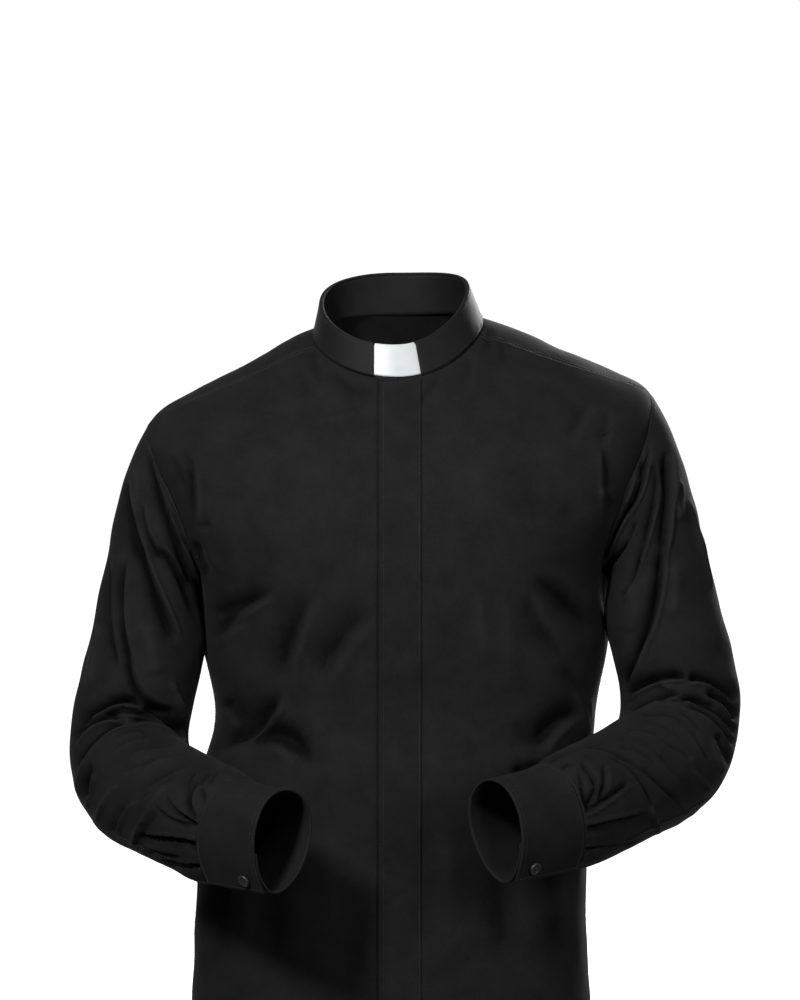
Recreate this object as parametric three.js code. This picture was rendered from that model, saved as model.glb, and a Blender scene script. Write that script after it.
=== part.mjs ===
// Clergy shirt with a tab collar, worn: black poplin, hollow, both arms bent in front of the body.
// Millimetres, +Z up. The shirt faces -Y and its own left is +X, so the right sleeve is at -X.
// The origin is in the middle of the neck, level with the neck seam over the shoulders.
// Every cut and sewn piece is its own closed wall. Walls meet at seams with a small gap.
import * as THREE from 'three';

// Sizes of the cloth
const CLOTH = 1.6;
const CUFF_CLOTH = 2.0;
const COLLAR_CLOTH = 1.5;
const SEAM_GAP = 0.3;
const HALF_GAP = SEAM_GAP / 2;

const DEGREE = Math.PI / 180;
const SIDE = Math.PI / 2;
const BACK = Math.PI;

// Rings of the body from the hem to the neck seam. v is the height along the side seam.
// right, left, front and back are half sizes, shift moves the centre lines sideways, the four z
// columns are the heights at the sides and centre lines, and round 2 is an ellipse, more is boxier.
const RINGS = [
  { name: 'hem', v: 0, right: 194, left: 178, front: 119, back: 118, shift: 3, round: 2.3,
    zRight: -770, zLeft: -770, zFront: -770, zBack: -770 },
  { name: 'hips', v: 130, right: 191, left: 175, front: 120, back: 117, shift: 3, round: 2.35,
    zRight: -640, zLeft: -640, zFront: -640, zBack: -640 },
  { name: 'seat', v: 260, right: 186, left: 170, front: 117, back: 104, shift: 2, round: 2.4,
    zRight: -510, zLeft: -510, zFront: -510, zBack: -510 },
  { name: 'blouse', v: 370, right: 180, left: 175, front: 122, back: 101, shift: 1, round: 2.35,
    zRight: -400, zLeft: -400, zFront: -400, zBack: -400 },
  { name: 'waist', v: 418, right: 169, left: 179, front: 116, back: 97, shift: 1, round: 2.3,
    zRight: -352, zLeft: -352, zFront: -352, zBack: -352 },
  { name: 'ribs', v: 468, right: 177, left: 187, front: 118, back: 103, shift: 0, round: 2.4,
    zRight: -302, zLeft: -300, zFront: -302, zBack: -302 },
  { name: 'armpit', v: 535, right: 180, left: 184, front: 120, back: 109, shift: -1, round: 2.5,
    zRight: -238, zLeft: -224, zFront: -235, zBack: -235 },
  { name: 'chest', v: 610, right: 212, left: 214, front: 115, back: 112, shift: -1, round: 2.7,
    zRight: -160, zLeft: -141, zFront: -182, zBack: -158 },
  { name: 'shoulder', v: 690, right: 228, left: 229, front: 103, back: 100, shift: -2, round: 2.4,
    zRight: -83, zLeft: -58, zFront: -130, zBack: -85 },
  { name: 'point', v: 728, right: 199, left: 199.5, front: 96, back: 93, shift: -2, round: 2.25,
    zRight: -62.5, zLeft: -40, zFront: -111, zBack: -60 },
  { name: 'ridge', v: 775, right: 150, left: 150, front: 87, back: 84, shift: -2, round: 2.1,
    zRight: -38.5, zLeft: -20.5, zFront: -90, zBack: -31 },
  { name: 'slope', v: 835, right: 96, left: 94, front: 71, back: 65, shift: -2, round: 2.03,
    zRight: -10.5, zLeft: 2.2, zFront: -58.5, zBack: 6 },
  { name: 'neck', v: 855, right: 78, left: 75, front: 66, back: 58, shift: -2, round: 2,
    zRight: -5, zLeft: 7, zFront: -48, zBack: 18 },
];
const NECK = 855;
const HEM_CURVE = { below: 260, side: 66, front: 8, back: -8 };
// Soft fullness just behind each arm, where the cloth is squeezed out: how far behind the side seam
// and at which height it is, its half sizes, and how far it stands out
const SIDE_FULLNESS = { behind: 17 * DEGREE, v: 519, width: 13 * DEGREE, height: 38, out: 10 };

// Armhole: its lowest and highest ring, and how far it opens to the front and to the back
const ARMHOLE = { low: 535, high: 690, front: 28 * DEGREE, back: 31 * DEGREE };
const ARMHOLE_STEPS = 14;
const YOKE_STEP = 3;
// Front seam of the yoke: its angle in front of the shoulder line, from the neck to the armhole
const YOKE_FRONT = 17 * DEGREE;
const YOKE_BOW = 0.25;

// Long soft folds of the body: start, middle and end as seen from the front, width and depth
const BODY_FOLDS = [
  { x0: -176, z0: -279, x1: -150, z1: -262, x2: -119, z2: -242, width: 15, depth: 3.5 },
  { x0: -134, z0: -356, x1: -110, z1: -309, x2: -79, z2: -242, width: 15, depth: 4 },
  { x0: -84, z0: -334, x1: -60, z1: -290, x2: -21, z2: -256, width: 14, depth: 3.5 },
  { x0: -166, z0: -398, x1: -140, z1: -382, x2: -80, z2: -402, width: 14, depth: 4.5 },
  { x0: 181, z0: -277, x1: 146, z1: -246, x2: 121, z2: -230, width: 15, depth: 3.5 },
  { x0: 119, z0: -264, x1: 132, z1: -295, x2: 156, z2: -330, width: 14, depth: 3.5 },
  { x0: 160, z0: -358, x1: 128, z1: -372, x2: 104, z2: -398, width: 14, depth: 4 },
];

// Sleeves: the line through the middle of each arm, with rounded corners at the elbow and wrist
const SLEEVES = {
  right: {
    side: -1, elbowRound: 66,
    shoulder: [-190, 0, -101], elbow: [-257, -26, -408], wrist: [-144, -195, -443], end: [-100, -243, -445],
  },
  left: {
    side: 1, elbowRound: 84,
    shoulder: [195, 0, -78], elbow: [270, -26, -382], wrist: [133, -190, -431], end: [82, -236, -437],
  },
};
const WRIST_ROUND = 30;
const CAP_LENGTH = 190;
const CUFF_LENGTH = 68;

// Sleeve sections, by their distance before the cuff seam: half sizes across and along the bend,
// and how much narrower the section is at its foot
const SLEEVE_SECTIONS = [
  { before: 330, across: 51, flex: 55, drop: 0 },
  { before: 260, across: 52, flex: 55, drop: 0 },
  { before: 190, across: 54, flex: 55, drop: 0 },
  { before: 120, across: 52, flex: 52, drop: 0 },
  { before: 60, across: 47, flex: 51, drop: 0.03 },
  { before: 25, across: 43, flex: 51, drop: 0.08 },
  { before: 0, across: 36, flex: 47, drop: 0.12 },
  { before: -CUFF_LENGTH, across: 31, flex: 44, drop: 0.15 },
];
// How a sleeve leaves the armhole: steepness and stretch of its start at the top and at the foot
const CAP_TOP = { fall: 52 * DEGREE, start: 150, end: 200 };
const CAP_FOOT = { fall: 0, start: 34, end: 62 };
const CAP_SPREAD = 0.15;
// Turn from the outer side of the arm to the side of the bend's own axis
const BEND_TURN = 35 * DEGREE;

const SLEEVE_FOLDS = {
  right: [
    { x0: -230, z0: -108, x1: -212, z1: -190, x2: -178, z2: -266, width: 9, depth: 4 },
    { x0: -250, z0: -152, x1: -224, z1: -220, x2: -202, z2: -292, width: 10, depth: 4 },
    { x0: -256, z0: -226, x1: -254, z1: -310, x2: -210, z2: -353, width: 11, depth: 4 },
    { x0: -298, z0: -364, x1: -240, z1: -340, x2: -198, z2: -380, width: 9, depth: 5 },
    { x0: -300, z0: -404, x1: -262, z1: -362, x2: -206, z2: -378, width: 9, depth: 5 },
    { x0: -244, z0: -474, x1: -238, z1: -452, x2: -212, z2: -430, width: 8, depth: 3 },
    { x0: -214, z0: -429, x1: -199, z1: -446, x2: -182, z2: -455, width: 8, depth: 3.5 },
    { x0: -241, z0: -464, x1: -212, z1: -468, x2: -179, z2: -472, width: 8, depth: 3.5 },
  ],
  left: [
    { x0: 224, z0: -103, x1: 221, z1: -143, x2: 192, z2: -189, width: 9, depth: 4 },
    { x0: 246, z0: -119, x1: 238, z1: -220, x2: 206, z2: -323, width: 10, depth: 4 },
    { x0: 203, z0: -176, x1: 188, z1: -213, x2: 175, z2: -239, width: 9, depth: 3.5 },
    { x0: 204, z0: -348, x1: 240, z1: -308, x2: 306, z2: -342, width: 9, depth: 5 },
    { x0: 207, z0: -348, x1: 262, z1: -324, x2: 307, z2: -358, width: 9, depth: 5 },
    { x0: 207, z0: -367, x1: 236, z1: -372, x2: 274, z2: -403, width: 9, depth: 3.5 },
    { x0: 190, z0: -393, x1: 216, z1: -411, x2: 258, z2: -440, width: 9, depth: 3.5 },
    { x0: 169, z0: -445, x1: 190, z1: -430, x2: 212, z2: -415, width: 8, depth: 3.5 },
    { x0: 162, z0: -475, x1: 190, z1: -475, x2: 215, z2: -470, width: 8, depth: 3 },
  ],
};
// The folds are placed as seen by an eye this far in front, at this height
const EYE_DISTANCE = 3000;
const EYE_HEIGHT = -156;
// How finely a fold's line is followed, and how it fades at its ends
const FOLD_STEPS = 12;
const FOLD_FADE = { end: 0.04, power: 0.6 };
// How far a surface must turn to the front before folds begin, and before they are full
const FACING = { from: 0.1, to: 0.5 };

// Collar: its upper edge, the window in its outer layer, and the tab that slips in behind it
const COLLAR_TOP = {
  right: 72, left: 62, front: 60, back: 56, shift: -4, round: 2,
  zRight: 27, zLeft: 40, zFront: -16, zBack: 57,
};
const COLLAR_LIFT = 1.2;
const COLLAR_FOLD = 1.6;
const COLLAR_BEVEL = 0.7;
const WINDOW = 16 * DEGREE;
const TAB = {
  thickness: 0.8, bulge: 1.1, foot: 1.5, edge: 0.5 * DEGREE, shoulder: 0.2 * DEGREE,
  steps: 10, hiddenSteps: 2,
};

// Front strip over the buttons. The strips at the sleeve slits cover whole cells of the sleeve.
const PLACKET = { right: 20, left: 19, under: 16, thickness: 1.6, belowNeck: 4 };
const SLIT = { steps: [-3, -2, -1], rows: 13, thickness: 1.2 };

// Cuff: the loose end that hangs below the button, and the end that lies inside. The strip moves in
// by inset between two turns, so that one end clears the other.
const CUFF = {
  turn: -50 * DEGREE, tail: 15, tailTurn: 20 * DEGREE, inside: 30 * DEGREE,
  inset: 2.6, insetFrom: 250 * DEGREE, insetTo: 305 * DEGREE,
};
// Button: its rim stands above its dish. bevels are the outer corners, rimWidth the flat top of the rim.
const BUTTON = {
  radius: 5.6, rim: 2.6, dish: 1.7, footBevel: 0.6, rimBevel: 0.7, rimWidth: 0.9, fromEnd: 12, place: 0.74,
};

const COLOURS = { cloth: 0x1f1f20, tab: 0xececec, button: 0x17171a };

// A smooth curve through one column of a table
function column(rows, key, at, name) {
  const last = rows.length - 1;
  let i = 0;
  while (i < last - 1 && Math.abs(rows[i + 1][key] - rows[0][key]) < Math.abs(at - rows[0][key])) i += 1;
  const slope = (k) => (rows[k + 1][name] - rows[k][name]) / (rows[k + 1][key] - rows[k][key]);
  const tangent = (k) => {
    if (k === 0) return slope(0);
    if (k === last) return slope(last - 1);
    const before = Math.abs(rows[k][key] - rows[k - 1][key]);
    const after = Math.abs(rows[k + 1][key] - rows[k][key]);
    return (after * slope(k - 1) + before * slope(k)) / (before + after);
  };
  const span = rows[i + 1][key] - rows[i][key];
  const t = (at - rows[i][key]) / span;
  const rise = rows[i + 1][name] - rows[i][name];
  return rows[i][name] + rise * t * t * (3 - 2 * t)
    + span * (tangent(i) * t * (1 - t) * (1 - t) - tangent(i + 1) * t * t * (1 - t));
}

function smoothStep(low, high, value) {
  const t = THREE.MathUtils.clamp((value - low) / (high - low), 0, 1);
  return t * t * (3 - 2 * t);
}

// A point of a tilted ring. Angle 0 is the centre front, +90 degrees the left side, 180 the back.
function ringPoint(ring, angle) {
  const across = Math.sin(angle);
  const along = Math.cos(angle);
  const reach = (Math.abs(across) ** ring.round + Math.abs(along) ** ring.round) ** (-1 / ring.round);
  const zSide = across < 0 ? ring.zRight : ring.zLeft;
  const x = (across < 0 ? ring.right : ring.left) * reach * across + ring.shift * (reach * along) ** 2;
  const y = -(along > 0 ? ring.front : ring.back) * reach * along;
  const toFront = (ring.zFront - zSide) / ring.front;
  const toBack = (ring.zBack - zSide) / ring.back;
  const bow = (toFront + toBack) / (ring.front + ring.back);
  const tilt = toBack - bow * ring.back;
  return new THREE.Vector3(x, y, zSide + tilt * y + bow * y * y);
}

function ringAt(v) {
  const names = ['right', 'left', 'front', 'back', 'shift', 'round', 'zRight', 'zLeft', 'zFront', 'zBack'];
  return Object.fromEntries(names.map((name) => [name, column(RINGS, 'v', v, name)]));
}

function plainBody(angle, v) {
  const point = ringPoint(ringAt(v), angle);
  const low = Math.max(0, 1 - v / HEM_CURVE.below);
  const centre = Math.cos(angle) > 0 ? HEM_CURVE.front : HEM_CURVE.back;
  const raise = THREE.MathUtils.lerp(centre, HEM_CURVE.side, Math.sin(angle) ** 4);
  point.z += raise * low * low;
  const behind = (Math.acos(Math.cos(angle)) - SIDE - SIDE_FULLNESS.behind) / SIDE_FULLNESS.width;
  const above = (v - SIDE_FULLNESS.v) / SIDE_FULLNESS.height;
  point.x += Math.sign(Math.sin(angle)) * SIDE_FULLNESS.out * Math.exp(-behind * behind - above * above);
  return point;
}

// Small steps that give a surface's directions
const TINY = { turn: 1e-3, length: 0.2 };

// Outward normal of a surface of two parameters
function normalOf(surface, a, b, facing) {
  const alongA = surface(a + TINY.turn, b).sub(surface(a - TINY.turn, b));
  const alongB = surface(a, b + TINY.length).sub(surface(a, b - TINY.length));
  return alongA.cross(alongB).multiplyScalar(facing).normalize();
}

// Where a point shows in a view from the front
function seenFromFront(point) {
  const scale = EYE_DISTANCE / (EYE_DISTANCE + point.y);
  return { x: point.x * scale, z: EYE_HEIGHT + (point.z - EYE_HEIGHT) * scale };
}

// A point of the curve through three values
function curveAt(t, start, middle, end) {
  const pull = 2 * middle - (start + end) / 2;
  return (1 - t) * (1 - t) * start + 2 * t * (1 - t) * pull + t * t * end;
}

// Depth of the folds at a point of the front: soft troughs that fade at both ends
function foldDepth(folds, point) {
  const seen = seenFromFront(point);
  let depth = 0;
  for (const fold of folds) {
    let nearest = Infinity;
    let place = 0;
    for (let k = 0; k <= FOLD_STEPS; k += 1) {
      const t = k / FOLD_STEPS;
      const x = curveAt(t, fold.x0, fold.x1, fold.x2);
      const z = curveAt(t, fold.z0, fold.z1, fold.z2);
      const away = Math.hypot(seen.x - x, seen.z - z);
      if (away < nearest) {
        nearest = away;
        place = t;
      }
    }
    const inside = THREE.MathUtils.clamp(place, FOLD_FADE.end, 1 - FOLD_FADE.end);
    const fade = Math.sin(Math.PI * inside) ** FOLD_FADE.power;
    depth += fold.depth * fade * Math.exp(-((nearest / fold.width) ** 2));
  }
  return depth;
}

// A surface with its folds pressed in where it faces the front
function folded(plain, folds, facing) {
  return (a, b) => {
    const point = plain(a, b);
    const normal = normalOf(plain, a, b, facing);
    const inFront = smoothStep(FACING.from, FACING.to, -normal.y);
    return point.addScaledVector(normal, -inFront * foldDepth(folds, point));
  };
}

const body = folded(plainBody, BODY_FOLDS, 1);

// Points a fixed number of steps apart, ends included
function spaced(from, to, steps) {
  return Array.from({ length: steps + 1 }, (_, k) => from + ((to - from) * k) / steps);
}

// A closed wall of cloth over a grid of surface parameters, both skins and their edges.
// lift moves the wall off the surface, closed joins the last column to the first.
function clothWall({ surface, grid, thickness, lift = () => 0, closed = false, facing = 1, normal }) {
  const normalAt = normal || ((a, b) => normalOf(surface, a, b, facing));
  const rows = grid.length;
  const columns = grid[0].length;
  const positions = [];
  for (const half of [0.5, -0.5]) {
    for (const row of grid) {
      for (const [a, b] of row) {
        const point = surface(a, b);
        point.addScaledVector(normalAt(a, b), lift(a) + half * thickness);
        positions.push(point.x, point.y, point.z);
      }
    }
  }
  const index = [];
  const at = (skin, row, cell) => (skin * rows + row) * columns + (cell % columns);
  const quad = (p, q, r, s) => index.push(...(facing > 0 ? [p, q, r, p, r, s] : [p, r, q, p, s, r]));
  const cells = closed ? columns : columns - 1;
  const top = rows - 1;
  for (let c = 0; c < cells; c += 1) {
    for (let r = 0; r < top; r += 1) {
      quad(at(0, r, c), at(0, r, c + 1), at(0, r + 1, c + 1), at(0, r + 1, c));
      quad(at(1, r, c), at(1, r + 1, c), at(1, r + 1, c + 1), at(1, r, c + 1));
    }
    quad(at(1, 0, c), at(1, 0, c + 1), at(0, 0, c + 1), at(0, 0, c));
    quad(at(0, top, c), at(0, top, c + 1), at(1, top, c + 1), at(1, top, c));
  }
  if (!closed) {
    const end = columns - 1;
    for (let r = 0; r < top; r += 1) {
      quad(at(0, r, 0), at(0, r + 1, 0), at(1, r + 1, 0), at(1, r, 0));
      quad(at(0, r, end), at(1, r, end), at(1, r + 1, end), at(0, r + 1, end));
    }
  }
  return geometryOf(positions, index);
}

function geometryOf(positions, index) {
  const geometry = new THREE.BufferGeometry();
  geometry.setAttribute('position', new THREE.Float32BufferAttribute(positions, 3));
  geometry.setIndex(index);
  geometry.computeVertexNormals();
  return geometry;
}

const materials = {
  cloth: new THREE.MeshStandardMaterial({ color: COLOURS.cloth, roughness: 0.85, metalness: 0 }),
  tab: new THREE.MeshStandardMaterial({ color: COLOURS.tab, roughness: 0.4, metalness: 0 }),
  button: new THREE.MeshStandardMaterial({ color: COLOURS.button, roughness: 0.3, metalness: 0 }),
};

const shirt = new THREE.Group();

function addPiece(name, geometry, material) {
  const mesh = new THREE.Mesh(geometry, material.clone());
  mesh.name = name;
  shirt.add(mesh);
  return mesh;
}

// The armhole edge. turn 0 is the top, 90 degrees the front, 180 the foot.
function armholeAt(side, turn) {
  const opening = Math.sin(turn) > 0 ? ARMHOLE.front : ARMHOLE.back;
  return {
    angle: side * (SIDE - opening * Math.sin(turn)),
    v: ARMHOLE.low + (ARMHOLE.high - ARMHOLE.low) * (1 + Math.cos(turn)) * 0.5,
  };
}

function armholeTurn(step) {
  return (Math.PI * step) / ARMHOLE_STEPS;
}

// Angle of the yoke's front seam at a height above the shoulder
function yokeFrontAngle(v) {
  const t = (v - ARMHOLE.high) / (NECK - ARMHOLE.high);
  return SIDE - YOKE_FRONT * Math.sqrt(t) * (1 + YOKE_BOW * (1 - t));
}

// Size of one radian along the ring, which turns a gap in millimetres into an angle
function ringSpeed(angle, v) {
  return plainBody(angle + TINY.turn, v).distanceTo(plainBody(angle - TINY.turn, v)) / (2 * TINY.turn);
}

function row(from, to, v, columns) {
  return spaced(from, to, columns).map((angle) => [angle, v]);
}

const LOWER_STEPS = 12;
const LOWER_ROWS = spaced(0, ARMHOLE.low, LOWER_STEPS).slice(0, -1);
const UPPER_STEPS = 7;
const FRONT_COLUMNS = 8;
const BACK_COLUMNS = 16;
const STRIP_COLUMNS = 2;
const STRIP_STEPS = 12;
const UPPER_ROWS = spaced(ARMHOLE.high, NECK - HALF_GAP, UPPER_STEPS).slice(1);

// Fronts: from the centre strip to the side seam, the armhole and the yoke seam
function frontGrid(side) {
  const sideAngle = (v, edge) => side * (edge - (HALF_GAP / ringSpeed(side * edge, v)));
  const centre = (v) => {
    const ring = ringAt(v);
    const x = PLACKET.under + side * HALF_GAP - ring.shift;
    return Math.asin(x / (x < 0 ? ring.right : ring.left));
  };
  const edges = [
    ...LOWER_ROWS.map((v) => [v, sideAngle(v, SIDE)]),
    ...spaced(ARMHOLE_STEPS, 0, ARMHOLE_STEPS).map((step) => {
      const edge = armholeAt(side, armholeTurn(step));
      const ends = step === 0 || step === ARMHOLE_STEPS;
      return [edge.v, ends ? sideAngle(edge.v, SIDE) : edge.angle];
    }),
    ...UPPER_ROWS.map((v) => [v, sideAngle(v, yokeFrontAngle(v))]),
  ];
  return edges.map(([v, edge]) => {
    const [from, to] = side > 0 ? [centre(v), edge] : [edge, centre(v)];
    return row(from, to, v, FRONT_COLUMNS);
  });
}

addPiece('front_right', clothWall({ surface: body, grid: frontGrid(-1), thickness: CLOTH }), materials.cloth);
addPiece('front_left', clothWall({ surface: body, grid: frontGrid(1), thickness: CLOTH }), materials.cloth);

// Back: below the yoke, between the side seams and the armholes
function backRow(v, edgeLeft, edgeRight) {
  return row(edgeLeft, 2 * Math.PI + edgeRight, v, BACK_COLUMNS);
}

function backGrid() {
  const seam = (side, v) => side * (SIDE + HALF_GAP / ringSpeed(side * SIDE, v));
  const rows = LOWER_ROWS.map((v) => backRow(v, seam(1, v), seam(-1, v)));
  for (let step = ARMHOLE_STEPS; step >= YOKE_STEP; step -= 1) {
    const left = armholeAt(1, -armholeTurn(step));
    const right = armholeAt(-1, -armholeTurn(step));
    const v = left.v - (step === YOKE_STEP ? HALF_GAP : 0);
    const foot = step === ARMHOLE_STEPS;
    rows.push(backRow(v, foot ? seam(1, v) : left.angle, foot ? seam(-1, v) : right.angle));
  }
  return rows;
}

addPiece('back', clothWall({ surface: body, grid: backGrid(), thickness: CLOTH }), materials.cloth);

// Yoke: over both shoulders, from the back seam to the front seams
function yokeGrid() {
  const rows = [];
  for (let step = YOKE_STEP; step > 0; step -= 1) {
    const left = armholeAt(1, -armholeTurn(step));
    const right = armholeAt(-1, -armholeTurn(step));
    const v = left.v + (step === YOKE_STEP ? HALF_GAP : 0);
    rows.push(row(left.angle, 2 * Math.PI + right.angle, v, BACK_COLUMNS));
  }
  for (const v of [ARMHOLE.high, ...UPPER_ROWS]) {
    const edge = v === ARMHOLE.high ? SIDE : yokeFrontAngle(v);
    const gap = HALF_GAP / ringSpeed(edge, v);
    rows.push(row(edge + gap, 2 * Math.PI - edge - gap, v, BACK_COLUMNS));
  }
  return rows;
}

addPiece('yoke', clothWall({ surface: body, grid: yokeGrid(), thickness: CLOTH }), materials.cloth);

// Front strip: lies on both fronts, sewn to the left one
function placketGrid() {
  const angleFor = (x, v) => {
    const ring = ringAt(v);
    return Math.asin((x - ring.shift) / (x < 0 ? ring.right : ring.left));
  };
  const heights = [...LOWER_ROWS, ...spaced(ARMHOLE.low, NECK - PLACKET.belowNeck, STRIP_STEPS)];
  return heights.map((v) => row(angleFor(-PLACKET.right, v), angleFor(PLACKET.left, v), v, STRIP_COLUMNS));
}

addPiece('front_placket', clothWall({
  surface: body,
  grid: placketGrid(),
  thickness: PLACKET.thickness,
  lift: () => CLOTH / 2 + SEAM_GAP + PLACKET.thickness / 2,
}), materials.cloth);

// Collar surface: rises from the neck seam to the upper edge. b runs from 0 to 1.
const neckRing = ringAt(NECK);

function collarSurface(angle, b) {
  const foot = ringPoint(neckRing, angle);
  foot.z += COLLAR_LIFT;
  return foot.lerp(ringPoint(COLLAR_TOP, angle), b);
}

function collarHeight(angle) {
  return collarSurface(angle, 0).distanceTo(collarSurface(angle, 1));
}

function collarNormal(angle) {
  const around = collarSurface(angle + TINY.turn, 0.5).sub(collarSurface(angle - TINY.turn, 0.5));
  const up = collarSurface(angle, 1).sub(collarSurface(angle, 0));
  return around.cross(up).normalize();
}

// Layers of the collar, counted outwards from the middle of the wall
const TUNNEL = TAB.thickness + 2 * SEAM_GAP;
const LEG_IN = TUNNEL / 2;
const LEG_OUT = LEG_IN + COLLAR_CLOTH;

const COLLAR_ROWS = 3;

// Rows of a collar strip. foot and top are the distances kept from the lower and the upper edge.
function collarGrid(angles, foot, top) {
  return spaced(0, 1, COLLAR_ROWS).map((share) => angles.map((angle) => {
    const height = collarHeight(angle);
    return [angle, THREE.MathUtils.lerp(foot / height, 1 - top(angle) / height, share)];
  }));
}

const COLLAR_STEPS = 32;
const COLLAR_ANGLES = spaced(WINDOW, 2 * Math.PI - WINDOW, COLLAR_STEPS);
const STAND_SPLIT = 0.004;
const STAND_ANGLES = [
  STAND_SPLIT, WINDOW / 2, ...COLLAR_ANGLES, 2 * Math.PI - WINDOW / 2, 2 * Math.PI - STAND_SPLIT,
];

// Inner layer: a band round the neck, its ends meeting behind the tab
addPiece('collar_stand', clothWall({
  surface: collarSurface,
  normal: collarNormal,
  grid: collarGrid(STAND_ANGLES, 0, () => COLLAR_FOLD + SEAM_GAP),
  thickness: COLLAR_CLOTH,
  lift: () => -LEG_IN - COLLAR_CLOTH / 2,
}), materials.cloth);

// Outer layer: folds over the top of the inner one, open at the window
function collarGeometry() {
  const profile = (height) => [
    [LEG_IN, 0], [LEG_OUT, 0], [LEG_OUT, height / 2],
    [LEG_OUT, height - COLLAR_BEVEL], [LEG_OUT - COLLAR_BEVEL, height],
    [-LEG_OUT + COLLAR_BEVEL, height], [-LEG_OUT, height - COLLAR_BEVEL], [-LEG_OUT, height - COLLAR_FOLD],
    [LEG_IN, height - COLLAR_FOLD], [LEG_IN, height / 2],
  ];
  const positions = [];
  for (const angle of COLLAR_ANGLES) {
    const height = collarHeight(angle);
    for (const [out, up] of profile(height)) {
      const point = collarSurface(angle, up / height).addScaledVector(collarNormal(angle), out);
      positions.push(point.x, point.y, point.z);
    }
  }
  const corners = profile(1).length;
  const index = [];
  for (let a = 0; a < COLLAR_STEPS; a += 1) {
    for (let k = 0; k < corners; k += 1) {
      const next = (k + 1) % corners;
      const [p, q] = [a * corners + k, a * corners + next];
      index.push(p, p + corners, q + corners, p, q + corners, q);
    }
  }
  const outline = profile(collarHeight(BACK)).map(([out, up]) => new THREE.Vector2(out, up));
  const endFace = THREE.ShapeUtils.triangulateShape(outline, []);
  const last = COLLAR_STEPS * corners;
  for (const [p, q, r] of endFace) index.push(p, q, r, last + r, last + q, last + p);
  return geometryOf(positions, index);
}

addPiece('collar', collarGeometry(), materials.cloth);

// Tab: a thin strip in the tunnel, bulging into the window and filling it to the upper edge
function tabGeometry() {
  const edge = WINDOW - TAB.edge;
  const side = [edge + TAB.shoulder, ...COLLAR_ANGLES.slice(0, TAB.hiddenSteps + 1)];
  const front = spaced(-edge, edge, TAB.steps);
  const angles = [...side.map((angle) => -angle).reverse(), ...front, ...side];
  const inWindow = (angle) => Math.abs(angle) <= edge;
  return clothWall({
    surface: collarSurface,
    normal: collarNormal,
    grid: collarGrid(angles, TAB.foot, (angle) => (inWindow(angle) ? 0 : COLLAR_FOLD + 2 * SEAM_GAP)),
    thickness: TAB.thickness,
    lift: (angle) => TAB.bulge * Math.cos((angle / WINDOW) * SIDE) * (inWindow(angle) ? 1 : 0),
  });
}

addPiece('tab_insert', tabGeometry(), materials.tab);

// The line through a sleeve: straight upper arm, rounded elbow, straight forearm, wrist
function sleevePath(sleeve) {
  const [shoulder, elbow, wrist, end] = [sleeve.shoulder, sleeve.elbow, sleeve.wrist, sleeve.end]
    .map((point) => new THREE.Vector3(...point));
  const towards = (from, to, distance) => from.clone().lerp(to, distance / from.distanceTo(to));
  const path = new THREE.CurvePath();
  const elbowIn = towards(elbow, shoulder, sleeve.elbowRound);
  const elbowOut = towards(elbow, wrist, sleeve.elbowRound);
  const wristIn = towards(wrist, elbow, WRIST_ROUND);
  const wristOut = towards(wrist, end, WRIST_ROUND);
  path.add(new THREE.LineCurve3(shoulder, elbowIn));
  path.add(new THREE.QuadraticBezierCurve3(elbowIn, elbow, elbowOut));
  path.add(new THREE.LineCurve3(elbowOut, wristIn));
  path.add(new THREE.QuadraticBezierCurve3(wristIn, wrist, wristOut));
  path.add(new THREE.LineCurve3(wristOut, end));
  const bendAxis = elbow.clone().sub(shoulder).cross(wrist.clone().sub(elbow)).normalize();
  return { path, length: path.getLength(), bendAxis: bendAxis.multiplyScalar(-sleeve.side) };
}

// Frame of a sleeve section: across is the bend's axis, outwards; flex points into the bend
function sleeveFrame(arm, side, along) {
  const share = THREE.MathUtils.clamp(along / arm.length, 0, 1);
  const centre = arm.path.getPointAt(share);
  const forward = arm.path.getTangentAt(share);
  centre.addScaledVector(forward, along - share * arm.length);
  const flex = arm.bendAxis.clone().cross(forward).multiplyScalar(-side).normalize();
  const across = flex.clone().cross(forward).multiplyScalar(side).normalize();
  return { centre, forward, flex, across };
}

// Closed section of a sleeve or cuff at a turn measured from the across axis
function sectionPoint(frame, size, turn, inset = 0) {
  const narrow = 1 + size.drop * Math.sin(turn);
  return frame.centre.clone()
    .addScaledVector(frame.across, (size.across - inset) * Math.cos(turn) * narrow)
    .addScaledVector(frame.flex, (size.flex - inset) * Math.sin(turn));
}

function sizeAt(before) {
  const names = ['across', 'flex', 'drop'];
  return Object.fromEntries(names.map((name) => [name, column(SLEEVE_SECTIONS, 'before', before, name)]));
}

// Start of a sleeve: just off the armhole edge, heading out at the foot and down at the top
function sleeveStart(side, turn) {
  const edgePoint = (at) => {
    const edge = armholeAt(side, at);
    return body(edge.angle, edge.v);
  };
  const edge = armholeAt(side, turn);
  const point = edgePoint(turn);
  const out = normalOf(body, edge.angle, edge.v, 1);
  const along = edgePoint(turn + 1e-3).sub(edgePoint(turn - 1e-3));
  const centre = body(side * SIDE, (ARMHOLE.low + ARMHOLE.high) / 2);
  const inward = out.clone().cross(along).normalize();
  if (inward.dot(centre.sub(point)) < 0) inward.negate();
  const up = (1 + Math.cos(turn)) / 2;
  const fall = THREE.MathUtils.lerp(CAP_FOOT.fall, CAP_TOP.fall, 2 * up - up * up);
  const heading = new THREE.Vector3(
    side * Math.cos(fall),
    -CAP_SPREAD * Math.sin(turn),
    -Math.sin(fall),
  ).normalize();
  const rise = heading.dot(out) / Math.hypot(heading.dot(out), heading.dot(inward));
  point.addScaledVector(inward, SEAM_GAP).addScaledVector(out, (CLOTH / 2 + SEAM_GAP) * Math.max(rise, 0));
  return { point, heading, up };
}

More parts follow.
